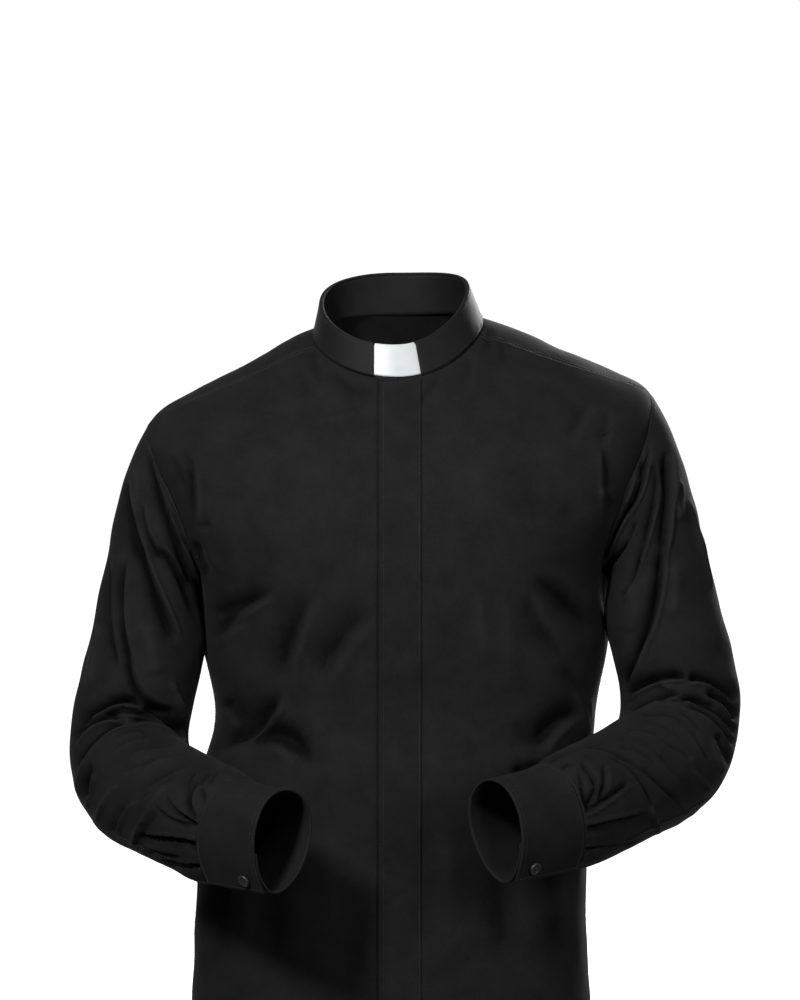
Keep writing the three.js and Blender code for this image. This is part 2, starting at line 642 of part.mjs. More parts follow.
// The sleeve: from the armhole a cap of smooth curves, then a tube of sections to the cuff seam
function plainSleeve(arm, side) {
  const seam = arm.length - CUFF_LENGTH;
  const tube = (turn, along) => (
    sectionPoint(sleeveFrame(arm, side, along), sizeAt(seam - along), turn - BEND_TURN)
  );
  const starts = new Map();
  return (turn, along) => {
    if (along >= CAP_LENGTH) return tube(turn, along);
    if (!starts.has(turn)) {
      const reached = tube(turn, CAP_LENGTH);
      const arriving = tube(turn, CAP_LENGTH + 1).sub(reached).normalize();
      starts.set(turn, { ...sleeveStart(side, turn), reached, arriving });
    }
    const { point, heading, up, reached, arriving } = starts.get(turn);
    const t = along / CAP_LENGTH;
    const leave = THREE.MathUtils.lerp(CAP_FOOT.start, CAP_TOP.start, up);
    const arrive = THREE.MathUtils.lerp(CAP_FOOT.end, CAP_TOP.end, up);
    return point.clone().multiplyScalar((1 + 2 * t) * (1 - t) * (1 - t))
      .addScaledVector(reached, t * t * (3 - 2 * t))
      .addScaledVector(heading, leave * t * (1 - t) * (1 - t))
      .addScaledVector(arriving, -arrive * t * t * (1 - t));
  };
}

const CAP_ROWS = [0, 12, 30, 55, 85, 120, 155];
const TUBE_STEPS = 25;
const CUFF_STEPS = { tail: 3, round: 32, along: 4 };

function buildSleeve(name, sleeve) {
  const { side } = sleeve;
  const arm = sleevePath(sleeve);
  const seam = arm.length - CUFF_LENGTH;
  const surface = folded(plainSleeve(arm, side), SLEEVE_FOLDS[name], side);
  const turns = spaced(0, 2 * ARMHOLE_STEPS, 2 * ARMHOLE_STEPS).slice(0, -1).map(armholeTurn);
  const heights = [...CAP_ROWS, ...spaced(CAP_LENGTH, seam - HALF_GAP, TUBE_STEPS)];
  addPiece(`sleeve_${name}`, clothWall({
    surface,
    grid: heights.map((along) => turns.map((turn) => [turn, along])),
    thickness: CLOTH,
    closed: true,
    facing: side,
  }), materials.cloth);

  const slitTurns = SLIT.steps.map(armholeTurn);
  addPiece(`sleeve_placket_${name}`, clothWall({
    surface,
    grid: heights.slice(-SLIT.rows).map((along) => slitTurns.map((turn) => [turn, along])),
    thickness: SLIT.thickness,
    lift: () => CLOTH / 2 + SEAM_GAP + SLIT.thickness / 2,
    facing: side,
  }), materials.cloth);

  // The cuff is an open strip: its outer end hangs free and its inner end lies inside
  const cuff = (turn, along) => {
    const frame = sleeveFrame(arm, side, along);
    const size = sizeAt(seam - along);
    const inset = CUFF.inset * smoothStep(CUFF.insetFrom, CUFF.insetTo, turn);
    const point = sectionPoint(frame, size, Math.max(turn, CUFF.turn), inset);
    if (turn >= CUFF.turn) return point;
    const beside = sectionPoint(frame, size, CUFF.turn + TINY.turn);
    const down = sectionPoint(frame, size, CUFF.turn).sub(beside).normalize();
    return point.addScaledVector(down, ((CUFF.turn - turn) / CUFF.tailTurn) * CUFF.tail);
  };
  const cuffTurns = [
    ...spaced(CUFF.turn - CUFF.tailTurn, CUFF.turn, CUFF_STEPS.tail).slice(0, -1),
    ...spaced(CUFF.turn, CUFF.turn + 2 * Math.PI + CUFF.inside, CUFF_STEPS.round),
  ];
  addPiece(`cuff_${name}`, clothWall({
    surface: cuff,
    grid: spaced(seam + HALF_GAP, arm.length, CUFF_STEPS.along)
      .map((along) => cuffTurns.map((turn) => [turn, along])),
    thickness: CUFF_CLOTH,
    facing: side,
  }), materials.cloth);

  const buttonTurn = CUFF.turn - CUFF.tailTurn * (1 - BUTTON.fromEnd / CUFF.tail);
  const buttonAlong = seam + CUFF_LENGTH * BUTTON.place;
  const button = addPiece(`cuff_button_${name}`, buttonGeometry(), materials.button);
  const out = normalOf(cuff, buttonTurn, buttonAlong, side);
  button.position.copy(cuff(buttonTurn, buttonAlong)).addScaledVector(out, CUFF_CLOTH / 2 + SEAM_GAP);
  button.quaternion.setFromUnitVectors(new THREE.Vector3(0, 1, 0), out);
}

const BUTTON_SIDES = 20;

// A round button with a raised rim, standing on its flat back
function buttonGeometry() {
  const { radius, rim, dish, footBevel, rimBevel, rimWidth } = BUTTON;
  const inner = radius - rimBevel - rimWidth;
  const profile = [
    [0, 0], [radius - footBevel, 0], [radius, footBevel],
    [radius, rim - rimBevel], [radius - rimBevel, rim], [inner, rim], [inner - rimBevel, dish], [0, dish],
  ].map(([r, y]) => new THREE.Vector2(r, y));
  return new THREE.LatheGeometry(profile, BUTTON_SIDES);
}

buildSleeve('right', SLEEVES.right);
buildSleeve('left', SLEEVES.left);

export default shirt;
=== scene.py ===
"""Clergy shirt with a tab collar: thin cloth with its folds, stitching, tab and buttons.

Every surface is worked out in millimetres from the same sizes as the solids, and becomes a mesh in
metres. Angle 0 is the centre front, +90 degrees the shirt's own left side, 180 the centre back.
"""
import math
import bpy
import numpy as np
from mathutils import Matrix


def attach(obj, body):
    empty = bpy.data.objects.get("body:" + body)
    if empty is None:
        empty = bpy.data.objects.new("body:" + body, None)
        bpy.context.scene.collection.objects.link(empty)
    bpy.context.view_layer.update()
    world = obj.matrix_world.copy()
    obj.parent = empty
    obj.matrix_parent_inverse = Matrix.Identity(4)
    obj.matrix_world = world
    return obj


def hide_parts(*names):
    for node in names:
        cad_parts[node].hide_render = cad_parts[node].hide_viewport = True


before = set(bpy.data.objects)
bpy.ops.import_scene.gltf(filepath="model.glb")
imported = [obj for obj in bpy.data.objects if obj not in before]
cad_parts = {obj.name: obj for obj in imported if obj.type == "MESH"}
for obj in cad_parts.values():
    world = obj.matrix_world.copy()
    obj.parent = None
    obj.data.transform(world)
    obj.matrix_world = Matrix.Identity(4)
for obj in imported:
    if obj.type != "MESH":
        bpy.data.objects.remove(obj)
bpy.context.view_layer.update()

MM = 0.001
DEGREE = math.pi / 180
SIDE = math.pi / 2

# Rings of the body from the hem to the neck seam, by their height v along the side seam: half widths and
# depths, how far the middle shifts to the left, roundness, and the height of each of the four sides
RING_COLUMNS = ("v", "right", "left", "front", "back", "shift", "round", "zRight", "zLeft", "zFront", "zBack")
RINGS = (
    (0, 194, 178, 119, 118, 3, 2.3, -770, -770, -770, -770),
    (130, 191, 175, 120, 117, 3, 2.35, -640, -640, -640, -640),
    (260, 186, 170, 117, 104, 2, 2.4, -510, -510, -510, -510),
    (370, 180, 175, 122, 101, 1, 2.35, -400, -400, -400, -400),
    (418, 169, 179, 116, 97, 1, 2.3, -352, -352, -352, -352),
    (468, 177, 187, 118, 103, 0, 2.4, -302, -300, -302, -302),
    (535, 180, 184, 120, 109, -1, 2.5, -238, -224, -235, -235),
    (610, 212, 214, 115, 112, -1, 2.7, -160, -141, -182, -158),
    (690, 228, 229, 103, 100, -2, 2.4, -83, -58, -130, -85),
    (728, 199, 199.5, 96, 93, -2, 2.25, -62.5, -40, -111, -60),
    (775, 150, 150, 87, 84, -2, 2.1, -38.5, -20.5, -90, -31),
    (835, 96, 94, 71, 65, -2, 2.03, -10.5, 2.2, -58.5, 6),
    (855, 78, 75, 66, 58, -2, 2, -5, 7, -48, 18),
)
NECK = 855
HEM_BELOW, HEM_SIDE, HEM_FRONT, HEM_BACK = 260, 66, 8, -8
# Fullness squeezed out behind each arm: how far behind the side seam, its height, half sizes and reach.
# It is larger than on the solids and stands out 6 mm more, so no light shows between sleeve and body.
FULL_BEHIND, FULL_HEIGHT, FULL_WIDTH, FULL_TALL, FULL_OUT = 17 * DEGREE, 524, 14 * DEGREE, 50, 16

# Armhole and yoke
ARMHOLE_LOW, ARMHOLE_HIGH = 535, 690
ARMHOLE_FRONT, ARMHOLE_BACK = 28 * DEGREE, 31 * DEGREE
YOKE_TURN = math.pi * 3 / 14
YOKE_FRONT = 17 * DEGREE

# Collar: the ring of its top edge, its lift off the neck seam, half the gap in front, and the room for
# the tab between its two layers, whose thicknesses come last
COLLAR_TOP = dict(right=72, left=62, front=60, back=56, shift=-4, round=2,
                  zRight=27, zLeft=40, zFront=-16, zBack=57)
COLLAR_LIFT, WINDOW, TUNNEL = 1.2, 16 * DEGREE, 1.4
STAND_LAYER, OUTER_LAYER = 1.2, 1.5

# Front strip: how far it reaches to the right and left of the middle, and where the fronts meet
PLACKET_RIGHT, PLACKET_LEFT, FRONTS_MEET = 20, 19, 16

# Sleeves
SLEEVES = {
    "right": dict(side=-1, elbow_round=66, shoulder=(-190, 0, -101), elbow=(-257, -26, -408),
                  wrist=(-144, -195, -443), end=(-100, -243, -445)),
    "left": dict(side=1, elbow_round=84, shoulder=(195, 0, -78), elbow=(270, -26, -382),
                 wrist=(133, -190, -431), end=(82, -236, -437)),
}
WRIST_ROUND = 30
CAP_LENGTH, CUFF_LENGTH = 190, 68
SECTION_COLUMNS = ("before", "across", "flex", "drop")
SECTIONS = (
    (-68, 31, 44, 0.15),
    (0, 36, 47, 0.12),
    (25, 43, 51, 0.08),
    (60, 47, 51, 0.03),
    (120, 52, 52, 0),
    (190, 54, 55, 0),
    (260, 52, 55, 0),
    (330, 51, 55, 0),
)
CAP_FALL_TOP = 52 * DEGREE
CAP_START = (34, 150)
CAP_END = (62, 200)
CAP_SPREAD = 0.15
BEND_TURN = 35 * DEGREE

# Cuffs: where the closed round starts, how far the outer end hangs free before it and the turns that
# this takes up, then how far the inner end reaches under it and how deep it lies there
CUFF_TURN, CUFF_TAIL, CUFF_TAIL_TURN = -50 * DEGREE, 15, 20 * DEGREE
CUFF_INSIDE, CUFF_INSET = 30 * DEGREE, 2.6
# Button: its distance from the free end, and its share of the way from the cuff's seam to its edge
BUTTON_FROM_END, BUTTON_PLACE = 12, 0.74

# Thickness of the visible cloth in the panels, the front strip, the slit strips and the cuffs
CLOTH, STRIP_CLOTH, SLIT_CLOTH, CUFF_CLOTH = 0.9, 1.0, 0.6, 1.5
# Half the gap at a seam, and the height of a row on the body and on a sleeve
GAP, STEP, SLEEVE_STEP = 0.15, 2.6, 2.0
# Columns and rows of the grids
FRONT_COLUMNS, BACK_COLUMNS, YOKE_COLUMNS, STRIP_COLUMNS, SLEEVE_COLUMNS = 96, 104, 140, 22, 164
ARM_ROWS, BACK_ARM_ROWS, YOKE_ARM_ROWS = 80, 62, 16
COLLAR_COLUMNS, STAND_ROWS, OUTER_ROWS, TAB_COLUMNS, TAB_ROWS = 300, 14, 16, 120, 20
CUFF_TAIL_COLUMNS, CUFF_COLUMNS, CUFF_ROWS = 8, 150, 34

# The eye that sees the folds where their tables put them
EYE_DISTANCE, EYE_HEIGHT = 3000, -156

# Folds are placed on a front view 800 steps wide and 1000 high, those of the back as if seen through it.
VIEW_STEP, VIEW_LEFT, VIEW_TOP = 0.92, -368, 304

# Columns: start, middle and end across and down the view, half width in mm, depth in mm, lap.
# A positive depth is a trough, a negative one a ridge. Lap widens the side on the right of the way
# from start to end and makes the other side steep.
FRONT_FOLDS = (
    (275, 590, 245, 606, 212, 636, 7, 3.2, 0.5),
    (262, 600, 232, 607, 206, 613, 5, 2.2, 0.4),
    (252, 618, 230, 628, 208, 642, 5, 2.0, 0.4),
    (314, 590, 292, 635, 276, 692, 9, 3.2, 0.5),
    (279, 684, 262, 722, 206, 757, 6, 3.8, 0.5),
    (377, 606, 340, 640, 309, 694, 10, 2.4, 0.4),
    (318, 778, 280, 736, 230, 755, 7, 6.0, 0.2),
    (222, 700, 235, 710, 252, 728, 6, 2.8, -0.3),
    (188, 454, 193, 490, 192, 540, 4, 2.6, 0.5),
    (194, 536, 201, 560, 212, 584, 5, 3.2, 0.2),
    (194, 528, 204, 526, 214, 527, 3, 1.4, 0.0),
    (170, 452, 176, 470, 186, 500, 4, 1.0, 0.3),
    (178, 446, 186, 458, 198, 470, 4, 0.8, 0.0),
    (531, 578, 560, 598, 598, 640, 8, 3.4, 0.2),
    (527, 590, 538, 625, 573, 671, 6, 2.0, 0.3),
    (560, 660, 572, 680, 590, 700, 5, 1.6, 0.0),
    (478, 580, 482, 630, 487, 676, 6, -1.6, 0.0),
    (505, 590, 508, 640, 512, 700, 8, -1.2, 0.0),
    (574, 686, 583, 712, 591, 740, 2.2, -1.8, 0.0),
    (587, 690, 590, 715, 592, 738, 2.0, -1.2, 0.0),
    (584, 714, 556, 722, 530, 757, 6, 5.0, 0.3),
    (547, 761, 528, 769, 506, 773, 3.5, 2.8, 0.2),
    (516, 716, 524, 735, 530, 752, 7, 1.8, 0.0),
    (588, 398, 578, 420, 566, 442, 5, 1.7, 0.3),
    (607, 405, 605, 430, 600, 455, 4, 1.6, 0.3),
    (604, 440, 607, 480, 608, 524, 3.5, 2.4, -0.4),
    (596, 492, 606, 494, 613, 499, 3, -1.3, 0.0),
    (560, 500, 572, 520, 590, 540, 9, 1.0, 0.0),
    (314, 346, 314, 362, 325, 386, 3.5, 1.6, 0.3),
    (330, 362, 344, 384, 366, 398, 3.2, 1.5, 0.4),
    (338, 370, 356, 388, 378, 398, 2.6, 1.2, 0.3),
    (300, 362, 304, 384, 318, 410, 5, 1.0, 0.2),
    (352, 378, 364, 388, 376, 394, 2.4, 1.0, 0.0),
    (486, 326, 489, 342, 486, 362, 3.5, 1.6, 0.2),
    (497, 338, 503, 352, 508, 372, 3.5, 1.3, 0.2),
    (470, 352, 468, 372, 458, 396, 4, 1.2, 0.2),
    (442, 376, 434, 386, 424, 394, 2.6, 1.1, 0.0),
    (430, 388, 425, 396, 420, 406, 2.4, 1.0, 0.0),
    (240, 400, 262, 412, 290, 416, 9, 0.9, 0.0),
    (250, 430, 235, 470, 240, 520, 14, 1.0, 0.0),
    (330, 430, 322, 500, 334, 560, 16, -0.9, 0.0),
    (470, 420, 480, 480, 470, 540, 15, -0.9, 0.0),
    (540, 440, 530, 490, 540, 545, 13, 0.9, 0.0),
    (212, 850, 222, 900, 216, 990, 12, 3.0, 0.3),
    (268, 830, 276, 900, 268, 980, 13, 2.4, 0.2),
    (322, 820, 330, 900, 324, 990, 12, -1.6, 0.0),
    (566, 840, 556, 900, 560, 1000, 12, 3.0, 0.3),
    (508, 830, 500, 900, 506, 990, 13, 2.4, 0.2),
    (452, 800, 448, 880, 452, 980, 12, -1.6, 0.0),
    (340, 1010, 344, 1060, 338, 1120, 13, 1.8, 0.2),
    (462, 1010, 468, 1060, 462, 1120, 13, 1.8, 0.2),
)
BACK_FOLDS = (
    (236, 600, 280, 655, 336, 700, 10, 4.0, 0.4),
    (248, 650, 288, 706, 332, 742, 9, 3.4, 0.4),
    (226, 690, 262, 742, 300, 760, 8, 3.0, 0.3),
    (564, 595, 522, 655, 470, 704, 10, 4.0, 0.4),
    (556, 652, 516, 708, 470, 744, 9, 3.2, 0.4),
    (578, 690, 540, 742, 500, 762, 8, 3.0, 0.3),
    (356, 640, 364, 730, 360, 800, 13, 2.6, 0.2),
    (446, 650, 440, 734, 446, 806, 13, 2.8, 0.2),
    (250, 770, 300, 748, 366, 766, 8, 4.4, 0.2),
    (420, 768, 480, 746, 548, 768, 8, 4.4, 0.2),
    (330, 786, 388, 772, 430, 790, 7, 2.6, 0.2),
    (246, 790, 270, 860, 262, 980, 13, 3.6, 0.3),
    (556, 790, 530, 860, 538, 980, 13, 3.6, 0.3),
    (322, 800, 330, 900, 322, 1010, 13, 2.6, 0.2),
    (478, 800, 470, 900, 478, 1020, 13, 2.6, 0.2),
    (398, 820, 404, 920, 398, 1040, 12, -1.8, 0.0),
    (192, 470, 206, 520, 226, 570, 6, 2.6, 0.4),
    (608, 460, 596, 512, 574, 566, 6, 2.6, 0.4),
    (230, 440, 262, 470, 300, 480, 11, 1.4, 0.0),
    (570, 430, 540, 462, 500, 474, 11, 1.4, 0.0),
    (340, 470, 400, 486, 460, 470, 14, 1.2, 0.0),
)
RIGHT_SLEEVE_FOLDS = (
    (150, 444, 157, 485, 172, 530, 5, 3.2, 0.5),
    (165, 514, 184, 558, 206, 626, 5, 3.8, 0.4),
    (128, 476, 131, 520, 146, 562, 7, 3.8, 0.5),
    (138, 542, 156, 592, 178, 646, 6, 3.8, 0.5),
    (141, 498, 148, 535, 165, 560, 4, 2.4, 0.4),
    (157, 546, 180, 575, 207, 632, 4, 2.8, 0.3),
    (168, 482, 177, 515, 190, 550, 4, 2.6, 0.3),
    (184, 534, 195, 556, 206, 576, 4, 2.6, 0.2),
    (159, 466, 166, 498, 174, 524, 3, 1.3, 0.3),
    (136, 462, 140, 505, 150, 552, 3, -1.2, 0.0),
    (124, 556, 122, 620, 131, 662, 4.5, 3.2, 0.4),
    (127, 642, 139, 694, 180, 713, 4.5, 3.6, 0.2),
    (111, 552, 108, 615, 118, 676, 5, 1.8, 0.4),
    (170, 678, 180, 704, 188, 724, 3, -2.0, 0.0),
    (100, 620, 94, 655, 88, 694, 3, -1.8, 0.0),
    (146, 620, 152, 650, 158, 676, 9, -1.6, 0.0),
    (142, 707, 112, 704, 75, 728, 4.2, 4.6, 0.5),
    (189, 742, 168, 720, 141, 708, 5, 4.8, 0.4),
    (166, 722, 131, 713, 99, 717, 2.4, 2.0, 0.3),
    (122, 719, 96, 722, 73, 744, 4, 3.8, 0.5),
    (186, 746, 160, 722, 127, 723, 3, 2.6, 0.3),
    (130, 722, 98, 738, 76, 771, 3, 3.0, 0.4),
    (166, 741, 140, 736, 108, 752, 3, 1.2, 0.3),
    (150, 733, 135, 730, 117, 736, 2.5, 1.0, 0.3),
    (162, 749, 146, 746, 123, 757, 2.5, 1.1, 0.3),
    (176, 748, 160, 746, 144, 752, 2.5, 0.9, 0.3),
    (170, 758, 150, 759, 118, 775, 3, 1.3, 0.3),
    (184, 757, 162, 757, 135, 772, 3, 1.1, 0.3),
    (192, 763, 166, 774, 132, 796, 3.2, 1.1, 0.3),
    (182, 769, 166, 772, 146, 784, 2.5, 1.0, 0.3),
    (176, 780, 156, 786, 134, 806, 3.2, 0.9, 0.3),
    (92, 762, 84, 780, 84, 802, 5, 2.4, -0.3),
    (94, 768, 90, 790, 86, 812, 1.9, -1.1, 0.0),
    (122, 783, 106, 800, 96, 824, 1.9, -1.5, 0.0),
    (139, 800, 124, 815, 117, 836, 1.9, -1.5, 0.0),
    (170, 785, 152, 804, 140, 826, 2.0, -1.6, 0.0),
    (144, 818, 138, 830, 132, 848, 2.0, -1.6, 0.0),
    (128, 806, 118, 818, 112, 836, 4, 1.2, 0.0),
    (158, 812, 146, 826, 142, 844, 4, 1.2, 0.0),
    (166, 796, 182, 815, 204, 827, 2.6, 3.0, 0.4),
    (153, 804, 174, 820, 192, 824, 2.8, 1.8, 0.4),
    (136, 836, 170, 838, 208, 846, 3.0, 3.2, 0.5),
    (156, 861, 187, 865, 216, 863, 2.6, 2.4, 0.4),
    (201, 778, 190, 800, 198, 822, 3, 2.8, 0.3),
    (200, 784, 204, 804, 203, 824, 2.2, 2.2, 0.0),
    (214, 770, 205, 776, 199, 787, 2.2, 1.5, 0.0),
    (222, 768, 214, 775, 210, 786, 2.2, 1.3, 0.0),
    (198, 768, 187, 786, 190, 814, 3, 1.4, 0.2),
    (228, 776, 218, 788, 210, 806, 2.6, 1.2, 0.0),
    (144, 850, 162, 855, 184, 860, 4, 1.2, 0.3),
    (190, 846, 200, 852, 212, 852, 3, 1.0, 0.0),
)
LEFT_SLEEVE_FOLDS = (
    (666, 450, 668, 500, 661, 562, 5, 3.6, 0.5),
    (662, 546, 656, 600, 640, 646, 5.2, 4.2, 0.4),
    (646, 632, 634, 662, 620, 690, 5, 3.8, 0.4),
    (646, 454, 641, 486, 624, 518, 3.4, 3.2, 0.4),
    (632, 502, 617, 528, 601, 558, 4, 3.6, 0.4),
    (638, 438, 641, 460, 640, 480, 2.6, 2.0, 0.2),
    (632, 466, 628, 490, 612, 522, 3, 2.2, 0.3),
    (646, 440, 649, 455, 646, 472, 2.2, 1.3, 0.0),
    (656, 500, 648, 530, 635, 568, 3.6, 2.0, 0.4),
    (641, 552, 632, 580, 619, 602, 3, 1.7, 0.3),
    (637, 518, 625, 545, 605, 570, 3, 1.4, 0.3),
    (628, 540, 615, 560, 603, 578, 2.6, 1.2, 0.3),
    (652, 460, 657, 482, 651, 514, 3.6, 1.5, 0.3),
    (671, 456, 674, 488, 679, 520, 2.0, -1.4, 0.0),
    (679, 478, 681, 500, 678, 524, 2.0, -1.2, 0.0),
    (688, 496, 700, 545, 713, 594, 3, -1.8, 0.0),
    (672, 560, 676, 590, 672, 622, 8, -1.4, 0.0),
    (628, 580, 634, 610, 630, 634, 8, -1.4, 0.0),
    (738, 704, 714, 683, 684, 679, 4.2, 4.8, 0.4),
    (690, 678, 655, 680, 621, 699, 4.6, 4.8, 0.4),
    (682, 693, 655, 699, 622, 713, 3.5, 3.8, 0.3),
    (737, 738, 716, 711, 678, 696, 3, 3.2, 0.3),
    (719, 708, 700, 700, 676, 698, 2.6, 2.6, 0.3),
    (738, 724, 726, 703, 704, 691, 4, 3.8, 0.3),
    (735, 748, 712, 718, 684, 705, 2.8, 3.0, 0.3),
    (690, 705, 675, 701, 656, 703, 2.2, 1.6, 0.3),
    (659, 683, 668, 688, 674, 691, 2.6, -2.2, 0.0),
    (682, 720, 660, 714, 638, 716, 2.4, 1.5, 0.3),
    (692, 762, 680, 750, 668, 744, 2.6, 1.4, 0.3),
    (674, 750, 652, 733, 620, 730, 2.6, 1.7, 0.3),
    (682, 740, 665, 727, 643, 722, 2.2, 1.1, 0.3),
    (700, 730, 690, 718, 678, 711, 2.4, 1.1, 0.3),
    (650, 776, 612, 752, 572, 748, 3, 2.2, 0.3),
    (684, 810, 660, 785, 640, 766, 2.6, 2.0, 0.3),
    (653, 808, 636, 775, 608, 757, 2.8, 2.2, 0.3),
    (656, 766, 640, 752, 618, 747, 2.6, 1.4, 0.3),
    (709, 762, 700, 745, 690, 729, 2.8, 1.2, 0.3),
    (731, 767, 722, 748, 716, 733, 3.2, 2.4, 0.2),
    (690, 790, 672, 770, 656, 752, 3.2, 0.9, 0.3),
    (711, 737, 716, 755, 723, 777, 2.0, -1.5, 0.0),
    (691, 767, 702, 782, 712, 794, 2.0, -1.4, 0.0),
    (675, 795, 681, 806, 689, 814, 1.9, -1.2, 0.0),
    (650, 804, 654, 820, 660, 836, 2.0, -1.6, 0.0),
    (632, 781, 607, 800, 583, 814, 2.6, 3.0, 0.4),
    (649, 813, 616, 821, 581, 830, 3.0, 3.2, -0.4),
    (642, 837, 610, 847, 574, 848, 2.6, 2.4, -0.4),
    (598, 866, 582, 868, 564, 869, 2.4, 2.0, 0.0),
    (581, 762, 593, 776, 597, 787, 2.6, 2.4, 0.2),
    (597, 785, 593, 797, 587, 810, 2.6, 2.6, 0.2),
    (603, 763, 606, 782, 598, 802, 3, 1.9, 0.3),
    (579, 770, 584, 790, 586, 808, 2.4, 1.8, 0.0),
    (546, 767, 562, 751, 584, 749, 3, 2.6, 0.2),
    (560, 772, 568, 764, 578, 762, 2.4, 1.6, 0.0),
)
RIGHT_SLEEVE_BACK_FOLDS = (
    (146, 440, 132, 520, 118, 600, 8, 3.4, 0.4),
    (172, 470, 158, 550, 124, 640, 8, 3.4, 0.4),
    (190, 520, 170, 600, 140, 680, 7, 3.0, 0.4),
    (112, 540, 102, 620, 92, 690, 7, 2.6, 0.3),
    (180, 640, 130, 700, 90, 740, 7, 3.6, 0.3),
    (186, 700, 140, 740, 96, 790, 6, 3.0, 0.3),
    (180, 770, 150, 790, 110, 820, 5, 2.0, 0.3),
)
LEFT_SLEEVE_BACK_FOLDS = (
    (658, 430, 672, 520, 686, 590, 8, 3.4, 0.4),
    (636, 460, 650, 540, 680, 620, 8, 3.4, 0.4),
    (616, 520, 636, 600, 664, 660, 7, 3.0, 0.4),
    (694, 530, 706, 610, 716, 670, 7, 2.6, 0.3),
    (628, 630, 676, 680, 716, 720, 7, 3.6, 0.3),
    (622, 690, 668, 728, 712, 766, 6, 3.0, 0.3),
    (628, 760, 660, 776, 700, 800, 5, 2.0, 0.3),
)
# The front and the back table of a part, with its limits of facing between which folds set in
BODY_TABLES = (FRONT_FOLDS, BACK_FOLDS, 0.1, 0.5)
SLEEVE_TABLES = {
    "right": (RIGHT_SLEEVE_FOLDS, RIGHT_SLEEVE_BACK_FOLDS, 0.05, 0.45),
    "left": (LEFT_SLEEVE_FOLDS, LEFT_SLEEVE_BACK_FOLDS, 0.05, 0.45),
}
# How folds are formed: factors on their depth and width, how steep they are, and their fading ends
FRONT_STYLE = dict(gain=1.9, widen=1.25, power=1.4, fading=0.36)
BACK_STYLE = dict(gain=1.7, widen=1.3, power=1.5, fading=0.45)
SLEEVE_STYLE = dict(gain=2.5, widen=0.85, power=1.35, fading=0.2)
# Where the lip beside a steep side stands and how wide it is, in widths of the fold
LIP_PLACE, LIP_WIDTH = 1.9, 0.8


def smooth(low, high, value):
    t = np.clip((value - low) / (high - low), 0, 1)
    return t * t * (3 - 2 * t)


def mix(low, high, share):
    return low + (high - low) * share


def unit(vectors):
    return vectors / np.maximum(np.linalg.norm(vectors, axis=-1, keepdims=True), 1e-9)


def column(table, columns, name, at):
    """A smooth curve through one column of a table, by its first column."""
    keys = np.array([row[0] for row in table], float)
    values = np.array([row[columns.index(name)] for row in table], float)
    spans = np.diff(keys)
    slopes = np.diff(values) / spans
    tangents = np.empty_like(values)
    tangents[0], tangents[-1] = slopes[0], slopes[-1]
    tangents[1:-1] = (spans[1:] * slopes[:-1] + spans[:-1] * slopes[1:]) / (spans[1:] + spans[:-1])
    i = np.clip(np.searchsorted(keys, at, side="right") - 1, 0, len(keys) - 2)
    t = (at - keys[i]) / spans[i]
    rise = values[i + 1] - values[i]
    return (values[i] + rise * t * t * (3 - 2 * t)
            + spans[i] * (tangents[i] * t * (1 - t) ** 2 - tangents[i + 1] * t * t * (1 - t)))


def ring_point(ring, angle):
    """A point of a tilted ring of the body or the collar."""
    across, along = np.sin(angle), np.cos(angle)
    power = ring["round"]
    reach = (np.abs(across) ** power + np.abs(along) ** power) ** (-1 / power)
    z_side = np.where(across < 0, ring["zRight"], ring["zLeft"])
    half = np.where(across < 0, ring["right"], ring["left"])
    x = half * reach * across + ring["shift"] * (reach * along) ** 2
    y = -np.where(along > 0, ring["front"], ring["back"]) * reach * along
    to_front = (ring["zFront"] - z_side) / ring["front"]
    to_back = (ring["zBack"] - z_side) / ring["back"]
    bow = (to_front + to_back) / (ring["front"] + ring["back"])
    tilt = to_back - bow * ring["back"]
    return np.stack(np.broadcast_arrays(x, y, z_side + tilt * y + bow * y * y), -1)


def ring_at(v):
    return {name: column(RINGS, RING_COLUMNS, name, v) for name in RING_COLUMNS[1:]}


def plain_body(angle, v):
    point = ring_point(ring_at(v), angle)
    low = np.maximum(0, 1 - v / HEM_BELOW)
    centre = np.where(np.cos(angle) > 0, HEM_FRONT, HEM_BACK)
    point[..., 2] += mix(centre, HEM_SIDE, np.sin(angle) ** 4) * low * low
    behind = (np.arccos(np.clip(np.cos(angle), -1, 1)) - SIDE - FULL_BEHIND) / FULL_WIDTH
    above = (v - FULL_HEIGHT) / FULL_TALL
    point[..., 0] += np.sign(np.sin(angle)) * FULL_OUT * np.exp(-behind ** 2 - above ** 2)
    return point


def normals_of(surface, a, b):
    along_a = surface(a + 1e-3, b) - surface(a - 1e-3, b)
    along_b = surface(a, b + 0.2) - surface(a, b - 0.2)
    return unit(np.cross(along_a, along_b))


